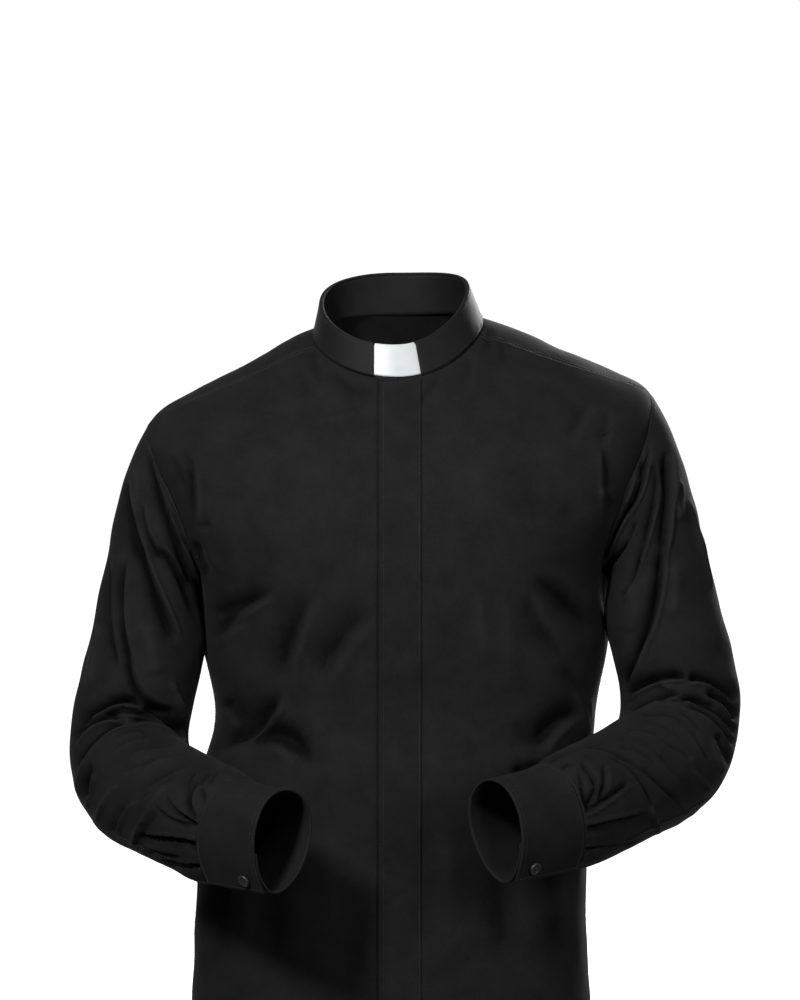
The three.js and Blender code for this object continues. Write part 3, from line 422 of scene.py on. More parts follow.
def fold_depth(points, table, from_front, gain, widen, power, fading):
    """Depth of the folds at points. A fold fades at both ends and is uneven along its length."""
    scale = EYE_DISTANCE / (EYE_DISTANCE + points[..., 1]) if from_front else 1.0
    seen = np.stack([points[..., 0] * scale, EYE_HEIGHT + (points[..., 2] - EYE_HEIGHT) * scale], -1)
    flat = seen.reshape(-1, 2)
    depth = np.zeros(len(flat))
    t = np.linspace(0, 1, 17)
    for order, (*ends, width, deep, lap) in enumerate(table):
        marks = np.array(ends, float).reshape(3, 2)
        across, down = marks.T
        start, middle, end = np.stack([VIEW_LEFT + VIEW_STEP * across, VIEW_TOP - VIEW_STEP * down], 1)
        bend = 2 * middle - (start + end) / 2
        curve = np.outer((1 - t) ** 2, start) + np.outer(2 * t * (1 - t), bend) + np.outer(t * t, end)
        reach = 4 * width * widen
        near = np.all((flat > curve.min(0) - reach) & (flat < curve.max(0) + reach), axis=1)
        if not near.any():
            continue
        spots = flat[near]
        steps = np.diff(curve, axis=0)
        offset = spots[:, None, :] - curve[None, :-1, :]
        share = np.clip((offset * steps).sum(-1) / (steps ** 2).sum(-1), 0, 1)
        gap = offset - share[..., None] * steps
        away = np.linalg.norm(gap, axis=-1)
        best = away.argmin(1)
        rows = np.arange(len(spots))
        on_right = steps[best, 0] * gap[rows, best, 1] - steps[best, 1] * gap[rows, best, 0] < 0
        place = (best + share[rows, best]) / len(steps)
        fade = smooth(0, fading, place) * smooth(1, 1 - fading, place)
        uneven = 1 + 0.18 * np.sin(9 * place + 1.7 * order) * np.sin(4 * place + order)
        spread = widen * width * mix(0.85, 1.15, place) * np.where(on_right, 1 + lap, 1 - lap)
        reached = away[rows, best] / spread
        beside = np.where(on_right == (lap < 0), 1, 0)
        lip = abs(lap) * beside * np.exp(-((reached - LIP_PLACE) / LIP_WIDTH) ** 2)
        depth[near] += gain * deep * fade * uneven * (np.exp(-reached ** power) - lip)
    return depth.reshape(points.shape[:-1])


# How much stronger the waves below are on a sleeve than on the body
SLEEVE_RIPPLE = 1.3
# Waves of the cloth that nothing pulls straight: direction in X, Y and Z per millimetre, phase, height
RIPPLES = (
    ((0.083, 0.031, 0.042), 0.3, 0.30),
    ((-0.047, 0.064, 0.091), 1.9, 0.26),
    ((0.121, -0.052, -0.038), 3.1, 0.18),
    ((0.036, 0.117, -0.128), 4.4, 0.14),
    ((0.192, 0.071, 0.110), 0.9, 0.08),
)


def ripples(points, size=1.0):
    """A low uneven waviness, so that no surface is perfectly even."""
    total = np.zeros(points.shape[:-1])
    for direction, phase, height in RIPPLES:
        wave = points @ np.array(direction)
        total += height * np.sin(wave + phase + 0.9 * np.sin(0.37 * wave + 2 * phase))
    return size * total


def both_sides(points, normals, tables, front_style, back_style):
    """Depth of the folds on the side that the photo shows and on the one behind."""
    front_table, back_table, low, high = tables
    front = smooth(low, high, -normals[..., 1]) * fold_depth(points, front_table, True, **front_style)
    back = smooth(low, high, normals[..., 1]) * fold_depth(points, back_table, False, **back_style)
    return front + back


def body_depth(points, normals):
    return both_sides(points, normals, BODY_TABLES, FRONT_STYLE, BACK_STYLE)


def body(angle, v):
    """The body with its folds."""
    angle, v = np.broadcast_arrays(np.asarray(angle, float), np.asarray(v, float))
    points = plain_body(angle, v)
    normals = normals_of(plain_body, angle, v)
    return points - normals * (body_depth(points, normals) + ripples(points))[..., None]


def armhole_at(side, turn):
    opening = np.where(np.sin(turn) > 0, ARMHOLE_FRONT, ARMHOLE_BACK)
    angle = side * (SIDE - opening * np.sin(turn))
    return angle, ARMHOLE_LOW + (ARMHOLE_HIGH - ARMHOLE_LOW) * (1 + np.cos(turn)) / 2


def yoke_front_angle(v):
    t = (v - ARMHOLE_HIGH) / (NECK - ARMHOLE_HIGH)
    return SIDE - YOKE_FRONT * np.sqrt(np.maximum(t, 0)) * (1.25 - 0.25 * t)


def ring_speed(angle, v):
    return np.linalg.norm(plain_body(angle + 1e-3, v) - plain_body(angle - 1e-3, v), axis=-1) / 2e-3


def spaced(start, end, size):
    """Even steps of about a size, both ends included."""
    return np.linspace(start, end, max(2, int(round(abs(end - start) / size)) + 1))


def lengths(points, axis):
    """Length along the rows (axis 1) or the columns (axis 0) of a grid, from its start."""
    steps = np.linalg.norm(np.diff(points, axis=axis), axis=-1)
    start = np.zeros_like(np.take(points[..., 0], [0], axis=axis))
    return np.concatenate([start, np.cumsum(steps, axis=axis)], axis=axis)


def grid_normals(points, closed, facing):
    """Outward normals of a grid from its own neighbours."""
    if closed:
        along = np.roll(points, -1, 1) - np.roll(points, 1, 1)
    else:
        along = np.gradient(points, axis=1)
    return unit(np.cross(along, np.gradient(points, axis=0))) * facing


def pucker(along, away, width=3.0, height=0.22, seed=0.0):
    """Small uneven puckers beside a seam, from the distance along it and away from it."""
    wave = np.sin(along * 0.69 + seed + 0.8 * np.sin(along * 0.17 + 2 * seed))
    wave = wave * (0.65 + 0.35 * np.sin(along * 0.11 + 3 * seed))
    return height * wave * np.exp(-((away - width) / width) ** 2)


class Cloth:
    """One sewn piece: a grid of points on its outer skin, with normals and distances to its edges."""

    def __init__(self, middle, thickness, closed=False, facing=1, lift=0.0):
        self.closed, self.facing, self.thickness = closed, facing, thickness
        self.normals = grid_normals(middle, closed, facing)
        # Depth that sets painted shade in the troughs and painted highlight on the ridges, none at first
        self.hollow = np.zeros(middle.shape[:2])
        self.middle = middle + self.normals * np.broadcast_to(lift, middle.shape[:2])[..., None]
        across, up = lengths(self.middle, 1), lengths(self.middle, 0)
        self.from_first, self.from_last = across, across[:, -1:] - across
        self.from_foot, self.from_top = up, up[-1:] - up

    def press(self, depth):
        """Moves the cloth in by a depth at each grid point."""
        self.middle = self.middle - self.normals * depth[..., None]

    def refresh(self):
        self.normals = grid_normals(self.middle, self.closed, self.facing)

    def skin(self, side):
        return self.middle + self.normals * (side * self.thickness / 2)

    def faces(self):
        rows, columns = self.middle.shape[:2]
        cells = columns if self.closed else columns - 1
        r, c = np.meshgrid(np.arange(rows - 1), np.arange(cells), indexing="ij")
        r, c = r.ravel(), c.ravel()
        n = (c + 1) % columns
        outer = np.stack([r * columns + c, r * columns + n, (r + 1) * columns + n, (r + 1) * columns + c], 1)
        inner = outer[:, ::-1] + rows * columns
        ends = []
        k = np.arange(cells)
        m = (k + 1) % columns
        base = rows * columns
        top = (rows - 1) * columns
        ends.append(np.stack([base + k, base + m, m, k], 1))
        ends.append(np.stack([top + k, top + m, base + top + m, base + top + k], 1))
        if not self.closed:
            j = np.arange(rows - 1) * columns
            ends.append(np.stack([j, j + columns, base + j + columns, base + j], 1))
            j = j + columns - 1
            ends.append(np.stack([base + j, base + j + columns, j + columns, j], 1))
        quads = np.concatenate([outer, inner, *ends])
        return quads if self.facing > 0 else quads[:, ::-1]

    def at(self, rows, columns, lift=0.0):
        """Points and normals of the outer skin at fractional grid places."""
        grid, normals = self.skin(1), self.normals
        count = grid.shape[1]
        r = np.clip(rows, 0, grid.shape[0] - 1.001)
        c = np.mod(columns, count) if self.closed else np.clip(columns, 0, count - 1.001)
        r0, c0 = np.floor(r).astype(int), np.floor(c).astype(int)
        fr, fc = (r - r0)[:, None], (c - c0)[:, None]
        c1 = (c0 + 1) % count

        def blend(values):
            low = values[r0, c0] * (1 - fc) + values[r0, c1] * fc
            high = values[r0 + 1, c0] * (1 - fc) + values[r0 + 1, c1] * fc
            return low * (1 - fr) + high * fr

        direction = unit(blend(normals))
        return blend(grid) + direction * lift, direction


def build_mesh(name, points, quads, uv=None, wear_and_shade=None):
    """A mesh object in metres from points in millimetres."""
    mesh = bpy.data.meshes.new(name)
    quads = np.asarray(quads, np.int32)
    mesh.vertices.add(len(points))
    mesh.vertices.foreach_set("co", (np.asarray(points, np.float64) * MM).astype(np.float32).ravel())
    mesh.loops.add(quads.size)
    mesh.loops.foreach_set("vertex_index", quads.ravel())
    mesh.polygons.add(len(quads))
    mesh.polygons.foreach_set("loop_start", np.arange(len(quads), dtype=np.int32) * 4)
    mesh.polygons.foreach_set("loop_total", np.full(len(quads), 4, np.int32))
    mesh.polygons.foreach_set("use_smooth", np.full(len(quads), True))
    mesh.update(calc_edges=True)
    if uv is not None:
        layer = mesh.uv_layers.new(name="cut")
        layer.data.foreach_set("uv", uv[quads.ravel()].astype(np.float32).ravel())
    # A point attribute for the colour: rim wear, painted shade in the troughs and painted highlight on the
    # ridges
    if wear_and_shade is not None:
        attribute = mesh.attributes.new("wear_and_shade", "FLOAT", "POINT")
        attribute.data.foreach_set("value", wear_and_shade.astype(np.float32).ravel())
    mesh.validate()
    piece = bpy.data.objects.new(name, mesh)
    bpy.context.collection.objects.link(piece)
    return piece


# Wear of the rims and its reach; painted shade that darkens the troughs and painted highlight that lightens
# the ridges, and the depth that has all of the shade
RIM_WEAR, RIM_REACH = 0.3, 1.6
TROUGH_SHADE, TROUGH_DEPTH = 0.75, 4.2


def build_cloth(name, cloth, material):
    """The closed thin shell of a sewn piece, with its cut's own measure as UV in metres."""
    points = np.concatenate([cloth.skin(1).reshape(-1, 3), cloth.skin(-1).reshape(-1, 3)])
    across = cloth.from_first - cloth.from_first[:, -1:] / 2
    uv = np.stack([across, cloth.from_foot], -1).reshape(-1, 2) * MM
    away = np.minimum(cloth.from_foot, cloth.from_top)
    if not cloth.closed:
        away = np.minimum(away, np.minimum(cloth.from_first, cloth.from_last))
    # Colour from the mesh: lighter rims from wear, painted shade in the troughs and painted highlight on the
    # ridges
    sunk = np.sign(cloth.hollow) * np.abs(cloth.hollow / TROUGH_DEPTH) ** 1.3
    wear_and_shade = (RIM_WEAR * np.exp(-away / RIM_REACH) - TROUGH_SHADE * np.clip(sunk, -0.7, 1.6)).ravel()
    piece = build_mesh(name, points, cloth.faces(), np.concatenate([uv, uv]), np.concatenate([wear_and_shade, wear_and_shade]))
    piece.data.materials.append(material)
    return piece


# Stitches: thickness of the thread, length of a stitch and distance from one to the next, then the four
# rings of a stitch, by their share of its length, girth and rise
THREAD, STITCH, PITCH = 0.42, 2.1, 2.8
LINE_STEPS = 400
STITCH_RINGS = ((-0.5, 0.45, -0.10), (-0.22, 1.0, 0.06), (0.22, 1.0, 0.06), (0.5, 0.45, -0.10))


def stitch_run(cloth, rows, columns):
    """Stitches along a line of fractional grid places, as points and quads."""
    line, normals = cloth.at(rows, columns, lift=0.02)
    steps = np.concatenate([[0], np.cumsum(np.linalg.norm(np.diff(line, axis=0), axis=1))])
    count = int(steps[-1] // PITCH)
    if count < 1:
        return np.zeros((0, 3)), np.zeros((0, 4), int)
    along = (np.arange(count) + 0.5) * steps[-1] / count

    def look(at, values):
        return np.stack([np.interp(at, steps, values[:, k]) for k in range(3)], -1)

    centre = look(along, line)
    ahead = unit(look(along + STITCH / 2, line) - look(along - STITCH / 2, line))
    up = unit(look(along, normals))
    side = unit(np.cross(ahead, up))
    up = np.cross(side, ahead)
    points = []
    for reach, girth, rise in STITCH_RINGS:
        for turn in (45, 135, 225, 315):
            out = THREAD / 2 * girth * math.sqrt(2) * math.cos(turn * DEGREE)
            high = THREAD / 2 * girth * math.sqrt(2) * math.sin(turn * DEGREE) + rise
            points.append(centre + ahead * (reach * STITCH) + side * out + up * high)
    points = np.stack(points, 1)
    quads = []
    for ring in range(len(STITCH_RINGS) - 1):
        for k in range(4):
            n = (k + 1) % 4
            quads.append((ring * 4 + k, ring * 4 + n, ring * 4 + 4 + n, ring * 4 + 4 + k))
    last = (len(STITCH_RINGS) - 1) * 4
    quads += [(3, 2, 1, 0), (last, last + 1, last + 2, last + 3)]
    quads = np.array(quads)[None] + (np.arange(count) * points.shape[1])[:, None, None]
    return points.reshape(-1, 3), quads.reshape(-1, 4)


def row_line(cloth, distance, edge="foot", columns=None):
    """Fractional places at a distance from the foot or the top edge."""
    total = cloth.middle.shape[1]
    low, high = columns if columns is not None else (0, total if cloth.closed else total - 1)
    places = np.linspace(low, high, LINE_STEPS)
    measure = cloth.from_foot if edge == "foot" else cloth.from_top[::-1]
    rows = []
    for place in places:
        index = int(place) % total
        row = np.interp(distance, measure[:, index], np.arange(measure.shape[0]))
        rows.append(row if edge == "foot" else measure.shape[0] - 1 - row)
    return np.array(rows), places


def column_line(cloth, distance, edge="first", rows=None):
    """Fractional places at a distance from the first or the last column."""
    total = cloth.middle.shape[0]
    low, high = rows if rows is not None else (0, total - 1)
    places = np.arange(low, high + 1e-6, 0.5)
    measure = cloth.from_first if edge == "first" else cloth.from_last[:, ::-1]
    columns = []
    for place in places:
        index = min(int(round(place)), total - 1)
        at = np.interp(distance, measure[index], np.arange(measure.shape[1]))
        columns.append(at if edge == "first" else measure.shape[1] - 1 - at)
    return places, np.array(columns)


def build_stitches(name, runs, material):
    points, quads, start = [], [], 0
    for run_points, run_quads in runs:
        points.append(run_points)
        quads.append(run_quads + start)
        start += len(run_points)
    piece = build_mesh(name, np.concatenate(points), np.concatenate(quads))
    piece.data.materials.append(material)
    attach(piece, "root")
    return piece


# Materials

def set_inputs(node, inputs):
    for name, value in inputs.items():
        node.inputs[name].default_value = value


def node_material(name, inputs):
    """A material with its nodes, links and main shader, on which the values are set."""
    material = bpy.data.materials.new(name)
    material.use_nodes = True
    nodes, links = material.node_tree.nodes, material.node_tree.links
    set_inputs(nodes["Principled BSDF"], inputs)
    return material, nodes, links, nodes["Principled BSDF"]


def texture(nodes, links, kind, place, inputs):
    """The share that a noise or wave texture gives at a place."""
    node = nodes.new(kind)
    set_inputs(node, inputs)
    links.new(place, node.inputs["Vector"])
    return node.outputs["Fac"]


def blend_into(nodes, links, share, socket, low, high, at=(0.3, 0.7)):
    """A blend from a low to a high colour by a share, fed into a socket."""
    node = nodes.new("ShaderNodeValToRGB")
    for element, position, color in zip(node.color_ramp.elements, at, (low, high)):
        element.position = position
        element.color = (*color, 1)
    links.new(share, node.inputs["Fac"])
    links.new(node.outputs["Color"], socket)


def bump_into(nodes, links, height, socket, strength, distance):
    """A bump fed into a normal socket, which gives its own normal socket for a coarser bump below it."""
    node = nodes.new("ShaderNodeBump")
    set_inputs(node, {"Strength": strength, "Distance": distance})
    links.new(height, node.inputs["Height"])
    links.new(node.outputs["Normal"], socket)
    return node.inputs["Normal"]


# Distance in metres over which the weave repeats across a piece, and its share of the one along it
WEAVE, WEFT = 0.00042, 0.8
BLACK = (0.0006, 0.0006, 0.0006)


def cloth_material(name, light, roughness):
    """Plain fine black cloth: a plain weave, slight fading in patches and along the edges, painted shade in
    the troughs and painted highlight on the ridges, soft sheen.
    """
    material, nodes, links, shader = node_material(name, {
        "Roughness": roughness, "Specular IOR Level": 0.08, "Sheen Weight": 0.01, "Sheen Roughness": 0.45})

    def combine(operation, first, second):
        node = nodes.new("ShaderNodeMath")
        node.operation = operation
        for socket, value in zip(node.inputs, (first, second)):
            if isinstance(value, float):
                socket.default_value = value
            else:
                links.new(value, socket)
        return node.outputs[0]

    cut = nodes.new("ShaderNodeUVMap")
    cut.uv_map = "cut"
    split = nodes.new("ShaderNodeSeparateXYZ")
    links.new(cut.outputs["UV"], split.inputs[0])
    warp = combine("MULTIPLY", split.outputs["X"], 2 * math.pi / WEAVE)
    weft = combine("MULTIPLY", split.outputs["Y"], 2 * math.pi / WEAVE * WEFT)
    over = combine("MULTIPLY", combine("SINE", warp, 0.0), combine("SINE", weft, 0.0))
    place = nodes.new("ShaderNodeTexCoord").outputs["Object"]
    noise = "ShaderNodeTexNoise"
    patches = texture(nodes, links, noise, place, {"Scale": 36, "Detail": 9, "Roughness": 0.68})
    fluff = texture(nodes, links, noise, place, {"Scale": 900, "Detail": 3})
    creases = texture(nodes, links, noise, place, {"Scale": 38, "Detail": 4, "Distortion": 0.6})
    # Rim wear with painted shade in the troughs and painted highlight on the ridges, read from the mesh
    wear_and_shade = nodes.new("ShaderNodeAttribute")
    wear_and_shade.attribute_name = "wear_and_shade"
    share = combine("ADD", combine("MULTIPLY", patches, 0.55), 0.225)
    share = combine("ADD", share, combine("MULTIPLY", wear_and_shade.outputs["Fac"], 0.34))
    share = combine("ADD", share, combine("MULTIPLY", over, 0.05))
    share = combine("ADD", share, combine("MULTIPLY", combine("SUBTRACT", fluff, 0.5), 0.55))
    blend_into(nodes, links, share, shader.inputs["Base Color"], BLACK, light, at=(0.1, 0.9))
    below = bump_into(nodes, links, over, shader.inputs["Normal"], 0.35, 0.00006)
    bump_into(nodes, links, creases, below, 0.35, 0.0007)
    return material


def thread_material():
    """Black sewing thread: twisted, a little shinier than the cloth."""
    material, nodes, links, shader = node_material("black_thread", {
        "Roughness": 0.45, "Specular IOR Level": 0.35})
    place = nodes.new("ShaderNodeTexCoord").outputs["Object"]
    twist = texture(nodes, links, "ShaderNodeTexWave", place, {"Scale": 900, "Distortion": 2})
    blend_into(nodes, links, twist, shader.inputs["Base Color"],
               (0.004, 0.004, 0.0042), (0.010, 0.010, 0.0104), at=(0.2, 0.8))
    bump_into(nodes, links, twist, shader.inputs["Normal"], 0.5, 0.00005)
    return material


def tab_material():
    """White bendable plastic: satin, with faint rub marks."""
    material, nodes, links, shader = node_material("white_tab", {"Subsurface Weight": 0.05})
    place = nodes.new("ShaderNodeTexCoord").outputs["Object"]
    marks = texture(nodes, links, "ShaderNodeTexNoise", place, {"Scale": 120, "Detail": 6})
    blend_into(nodes, links, marks, shader.inputs["Base Color"], (0.44, 0.44, 0.445), (0.49, 0.49, 0.492))
    blend_into(nodes, links, marks, shader.inputs["Roughness"], (0.36, 0.36, 0.36), (0.5, 0.5, 0.5))
    bump_into(nodes, links, marks, shader.inputs["Normal"], 0.1, 0.0002)
    return material


def button_material():
    """Black resin with a faint cloudy grain, unevenly polished."""
    material, nodes, links, shader = node_material("black_button", {})
    place = nodes.new("ShaderNodeTexCoord").outputs["Object"]
    cloud = texture(nodes, links, "ShaderNodeTexNoise", place, {"Scale": 260, "Detail": 6})
    blend_into(nodes, links, cloud, shader.inputs["Base Color"], (0.006, 0.006, 0.007), (0.018, 0.017, 0.017))
    blend_into(nodes, links, cloud, shader.inputs["Roughness"], (0.34, 0.34, 0.34), (0.5, 0.5, 0.5))
    return material


CLOTH_BLACK = cloth_material("black_cloth", (0.0150, 0.0150, 0.0153), 0.85)
COLLAR_BLACK = cloth_material("black_collar_cloth", (0.0140, 0.0140, 0.0143), 0.55)
THREAD_BLACK = thread_material()
TAB_WHITE = tab_material()
BUTTON_BLACK = button_material()

# Body

HIGH_ROWS = spaced(ARMHOLE_HIGH, NECK - GAP, STEP)[1:]
LOW_ROWS = spaced(0, ARMHOLE_LOW, STEP)[:-1]


def arm_turns(first, last, count):
    """Turns around an armhole, not too fine in height and not too coarse along the edge."""
    level = np.arccos(np.linspace(math.cos(first), math.cos(last), count))
    return mix(np.linspace(first, last, count), level, 0.7)


def fill_columns(starts, ends, count):
    """Rows of evenly spaced values between two edges."""
    return starts[:, None] + (ends - starts)[:, None] * np.linspace(0, 1, count)


def angles_at(x, heights):
    """Angles at which the front has this x, one for each height."""
    angles = []
    for height in heights:
        ring = ring_at(height)
        angles.append(math.asin((x - ring["shift"]) / ring["right" if x < 0 else "left"]))
    return np.array(angles)


def body_cloth(angles, heights, thickness, lift=0.0):
    cloth = Cloth(body(angles, heights[:, None]), thickness, lift=lift)
    # The folds' depth also sets painted shade in the troughs and painted highlight on the ridges
    cloth.hollow = body_depth(cloth.middle, cloth.normals)
    return cloth


def front_cloth(side):
    arm_angles, arm_heights = armhole_at(side, arm_turns(math.pi, 0, ARM_ROWS))
    for end in (0, -1):
        speed = ring_speed(np.array(side * SIDE), np.array(arm_heights[end]))
        arm_angles[end] = side * (SIDE - GAP / speed)
    low = side * (SIDE - GAP / ring_speed(np.full_like(LOW_ROWS, side * SIDE), LOW_ROWS))
    seam = side * yoke_front_angle(HIGH_ROWS)
    seam = seam - side * GAP / ring_speed(seam, HIGH_ROWS)
    v = np.concatenate([LOW_ROWS, arm_heights, HIGH_ROWS])
    edge = np.concatenate([low, arm_angles, seam])
    centre = angles_at(FRONTS_MEET + side * GAP, v)
    starts, ends = (centre, edge) if side > 0 else (edge, centre)
    return body_cloth(fill_columns(starts, ends, FRONT_COLUMNS), v, CLOTH)


def back_cloth():
    turns = -arm_turns(math.pi, YOKE_TURN, BACK_ARM_ROWS)
    left, heights = armhole_at(1, turns)
    right, _ = armhole_at(-1, turns)
    heights[-1] -= GAP
    gap = GAP / ring_speed(np.array(SIDE), np.array(float(ARMHOLE_LOW)))
    left[0], right[0] = SIDE + gap, -SIDE - gap
    low = SIDE + GAP / ring_speed(np.full_like(LOW_ROWS, SIDE), LOW_ROWS)
    v = np.concatenate([LOW_ROWS, heights])
    starts, ends = np.concatenate([low, left]), 2 * math.pi + np.concatenate([-low, right])
    return body_cloth(fill_columns(starts, ends, BACK_COLUMNS), v, CLOTH)


def yoke_cloth():
    turns = -arm_turns(YOKE_TURN, 0, YOKE_ARM_ROWS)
    left, heights = armhole_at(1, turns)
    right, _ = armhole_at(-1, turns)
    heights[0] += GAP
    seam = yoke_front_angle(HIGH_ROWS)
    seam = seam + GAP / ring_speed(seam, HIGH_ROWS)
    v = np.concatenate([heights, HIGH_ROWS])
    starts = np.concatenate([left, seam])
    ends = 2 * math.pi + np.concatenate([right, -seam])
    return body_cloth(fill_columns(starts, ends, YOKE_COLUMNS), v, CLOTH)


# The front strip: how far below the neck seam it ends, its rows, and its lift at the right and left edge
STRIP_BELOW, STRIP_STEP, STRIP_LIFTS = 4, 2.4, (1.55, 1.15)


def placket_cloth():
    heights = spaced(0, NECK - STRIP_BELOW, STRIP_STEP)
    angles = fill_columns(angles_at(-PLACKET_RIGHT, heights), angles_at(PLACKET_LEFT, heights), STRIP_COLUMNS)
    share = np.linspace(0, 1, STRIP_COLUMNS)[None, :]
    return body_cloth(angles, heights, STRIP_CLOTH, lift=mix(*STRIP_LIFTS, smooth(0, 1, share)))


def seam_groove(away, depth=0.35, width=1.1):
    return depth * np.exp(-(away / width) ** 2)


def dress_body_piece(cloth, seed, hemmed=True):
    """Seams pull the cloth in a little and pucker it; the hem is a narrow folded edge."""
    depth = seam_groove(cloth.from_first) + seam_groove(cloth.from_last) + seam_groove(cloth.from_top)
    depth = depth + pucker(cloth.from_foot, cloth.from_first, seed=seed)
    depth = depth + pucker(cloth.from_foot, cloth.from_last, seed=seed + 1)
    depth = depth + pucker(cloth.from_first, cloth.from_top, seed=seed + 2, height=0.16)
    if hemmed:
        depth = depth + pucker(cloth.from_first, cloth.from_foot, width=9, height=0.4, seed=seed + 3)
        depth = depth - 0.35 * smooth(9.2, 8.2, cloth.from_foot)
    cloth.press(depth)
    cloth.refresh()


def add_piece(node, cloth, material):
    """The sewn piece that replaces a node."""
    piece = build_cloth(f"{node}_cloth", cloth, material)
    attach(piece, "root")
    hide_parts(node)


def edge_stitches(cloth, distance, rows=None):
    """Stitches along the first and the last column."""
    return [stitch_run(cloth, *column_line(cloth, distance, edge, rows)) for edge in ("first", "last")]


# Distance of the stitches from the hem, from the side seams and other plain edges, from the yoke's seam
# on the fronts and on the yoke itself, and from the right edge of the strip
HEM_STITCH, SIDE_STITCH, FRONT_YOKE_STITCH, YOKE_STITCH, STRIP_STITCH = 8.5, 2.0, 2.2, 1.8, 5.5


def body_pieces():
    """Adds the fronts, the back, the yoke and the front strip, and returns their stitches."""
    right, left = front_cloth(-1), front_cloth(1)
    dress_body_piece(right, 1.0)
    dress_body_piece(left, 4.0)
    back, yoke, strip = back_cloth(), yoke_cloth(), placket_cloth()
    dress_body_piece(back, 7.0)
    dress_body_piece(yoke, 9.0, hemmed=False)
    depth = seam_groove(strip.from_last, 0.25) + pucker(strip.from_foot, strip.from_last, 2.5, 0.14, 2.2)
    strip.press(depth + pucker(strip.from_foot, strip.from_first, 5.5, 0.16, 5.2))
    # Painted shade: a dark line along the strip's right edge, for the shadow of its step over the front
    strip.hollow += 6 * np.exp(-strip.from_first / 1.5)
    strip.refresh()

    add_piece("front_right", right, CLOTH_BLACK)
    add_piece("front_left", left, CLOTH_BLACK)
    add_piece("back", back, CLOTH_BLACK)
    add_piece("yoke", yoke, CLOTH_BLACK)
    add_piece("front_placket", strip, CLOTH_BLACK)

    top_rows = (len(LOW_ROWS) + ARM_ROWS + 1, right.middle.shape[0] - 2)
    side_rows = (4, len(LOW_ROWS) - 2)
    runs = []
    for cloth, edge in ((right, "first"), (left, "last")):
        runs.append(stitch_run(cloth, *column_line(cloth, FRONT_YOKE_STITCH, edge, top_rows)))
        runs.append(stitch_run(cloth, *column_line(cloth, SIDE_STITCH, edge, side_rows)))
        runs.append(stitch_run(cloth, *row_line(cloth, HEM_STITCH)))
    runs.append(stitch_run(back, *row_line(back, HEM_STITCH)))
    runs += edge_stitches(back, SIDE_STITCH, side_rows)
    runs.append(stitch_run(yoke, *row_line(yoke, SIDE_STITCH)))
    runs += edge_stitches(yoke, YOKE_STITCH, (YOKE_ARM_ROWS + 2, yoke.middle.shape[0] - 2))
    runs.append(stitch_run(strip, *column_line(strip, STRIP_STITCH, "first")))
    runs.append(stitch_run(strip, *column_line(strip, SIDE_STITCH, "last")))
    return runs


# Collar

NECK_RING = ring_at(float(NECK))


def collar_surface(angle, b):
    foot = ring_point(NECK_RING, angle)
    foot[..., 2] += COLLAR_LIFT
    return foot + (ring_point(COLLAR_TOP, angle) - foot) * np.asarray(b, float)[..., None]


def collar_height(angle):
    rise = collar_surface(angle, np.ones_like(angle)) - collar_surface(angle, np.zeros_like(angle))
    return np.linalg.norm(rise, axis=-1)


def collar_normal(angle):
    half = np.full_like(angle, 0.5)
    around = collar_surface(angle + 1e-3, half) - collar_surface(angle - 1e-3, half)
    up = collar_surface(angle, half + 0.5) - collar_surface(angle, half - 0.5)
    return unit(np.cross(around, up))


# Distances from the collar's middle surface: half the tunnel, the outer face of the solid, and the middle
# of the visible outer layer, whose cloth is thinner than the solid
LEG_IN = TUNNEL / 2
LEG_OUT = LEG_IN + OUTER_LAYER
LEG_MIDDLE, OUTER_CLOTH = LEG_OUT - 0.55, 0.9
# The rounded top: how flat it is, where its arc starts, and its rows
TOP_ROUND, FOLD_START, FOLD_ROWS = 0.55, 0.3, 7
# How far the stand's foot lies below the seam and its top below the collar's top
STAND_FOOT, STAND_TOP = 1.8, 2.2
COLLAR_STITCH = 2.4


def stand_cloth():
    """The inner band, open by a hair at the front."""
    angles = np.linspace(0.006, 2 * math.pi - 0.006, COLLAR_COLUMNS)
    height = collar_height(angles)
    b = mix(-STAND_FOOT, height - STAND_TOP, np.linspace(0, 1, STAND_ROWS)[:, None]) / height
    grid = collar_surface(np.broadcast_to(angles, b.shape), b)
    stand = Cloth(grid, STAND_LAYER, lift=-LEG_IN - STAND_LAYER / 2)
    stand.press(ripples(stand.middle, 0.35))
    stand.refresh()
    return stand


def outer_cloth():
    """The outer layer: up the outside, over the top and a little way down the inside."""
    angles = np.linspace(WINDOW, 2 * math.pi - WINDOW, COLLAR_COLUMNS)
    height = collar_height(angles)
    normals = collar_normal(angles)
    top = height - TOP_ROUND * LEG_OUT
    rows = [(LEG_MIDDLE, top * up) for up in np.linspace(0, 1, OUTER_ROWS)]
    for t in np.linspace(FOLD_START, math.pi - FOLD_START, FOLD_ROWS):
        rows.append((LEG_MIDDLE * math.cos(t), top + TOP_ROUND * (LEG_OUT - 0.5) * math.sin(t)))
    rows += [(-LEG_MIDDLE, top - 0.4), (-LEG_MIDDLE, top - 1.2)]
    grid = np.stack([collar_surface(angles, up / height) + normals * out for out, up in rows])
    wave = ripples(grid, 0.45)
    grid = grid - normals[None] * wave[..., None]
    outer = Cloth(grid, OUTER_CLOTH)
    press = seam_groove(outer.from_foot, 0.3) + pucker(outer.from_first, outer.from_foot, 2.6, 0.2, 3.3)
    outer.press(press * (np.arange(len(rows)) < OUTER_ROWS)[:, None])
    return outer


# The tab: how far it reaches behind the collar on each side, its thickness, the height of its foot over
# the seam, how far its top lies below the collar's top in the window and beside it, and its bulge
TAB_HIDDEN = (2 * math.pi - 2 * WINDOW) / 32 * 2
TAB_THICKNESS, TAB_FOOT, TAB_RIM, TAB_RIM_HIDDEN, TAB_BULGE = 0.8, 1.5, 0.2, 2.4, 1.1


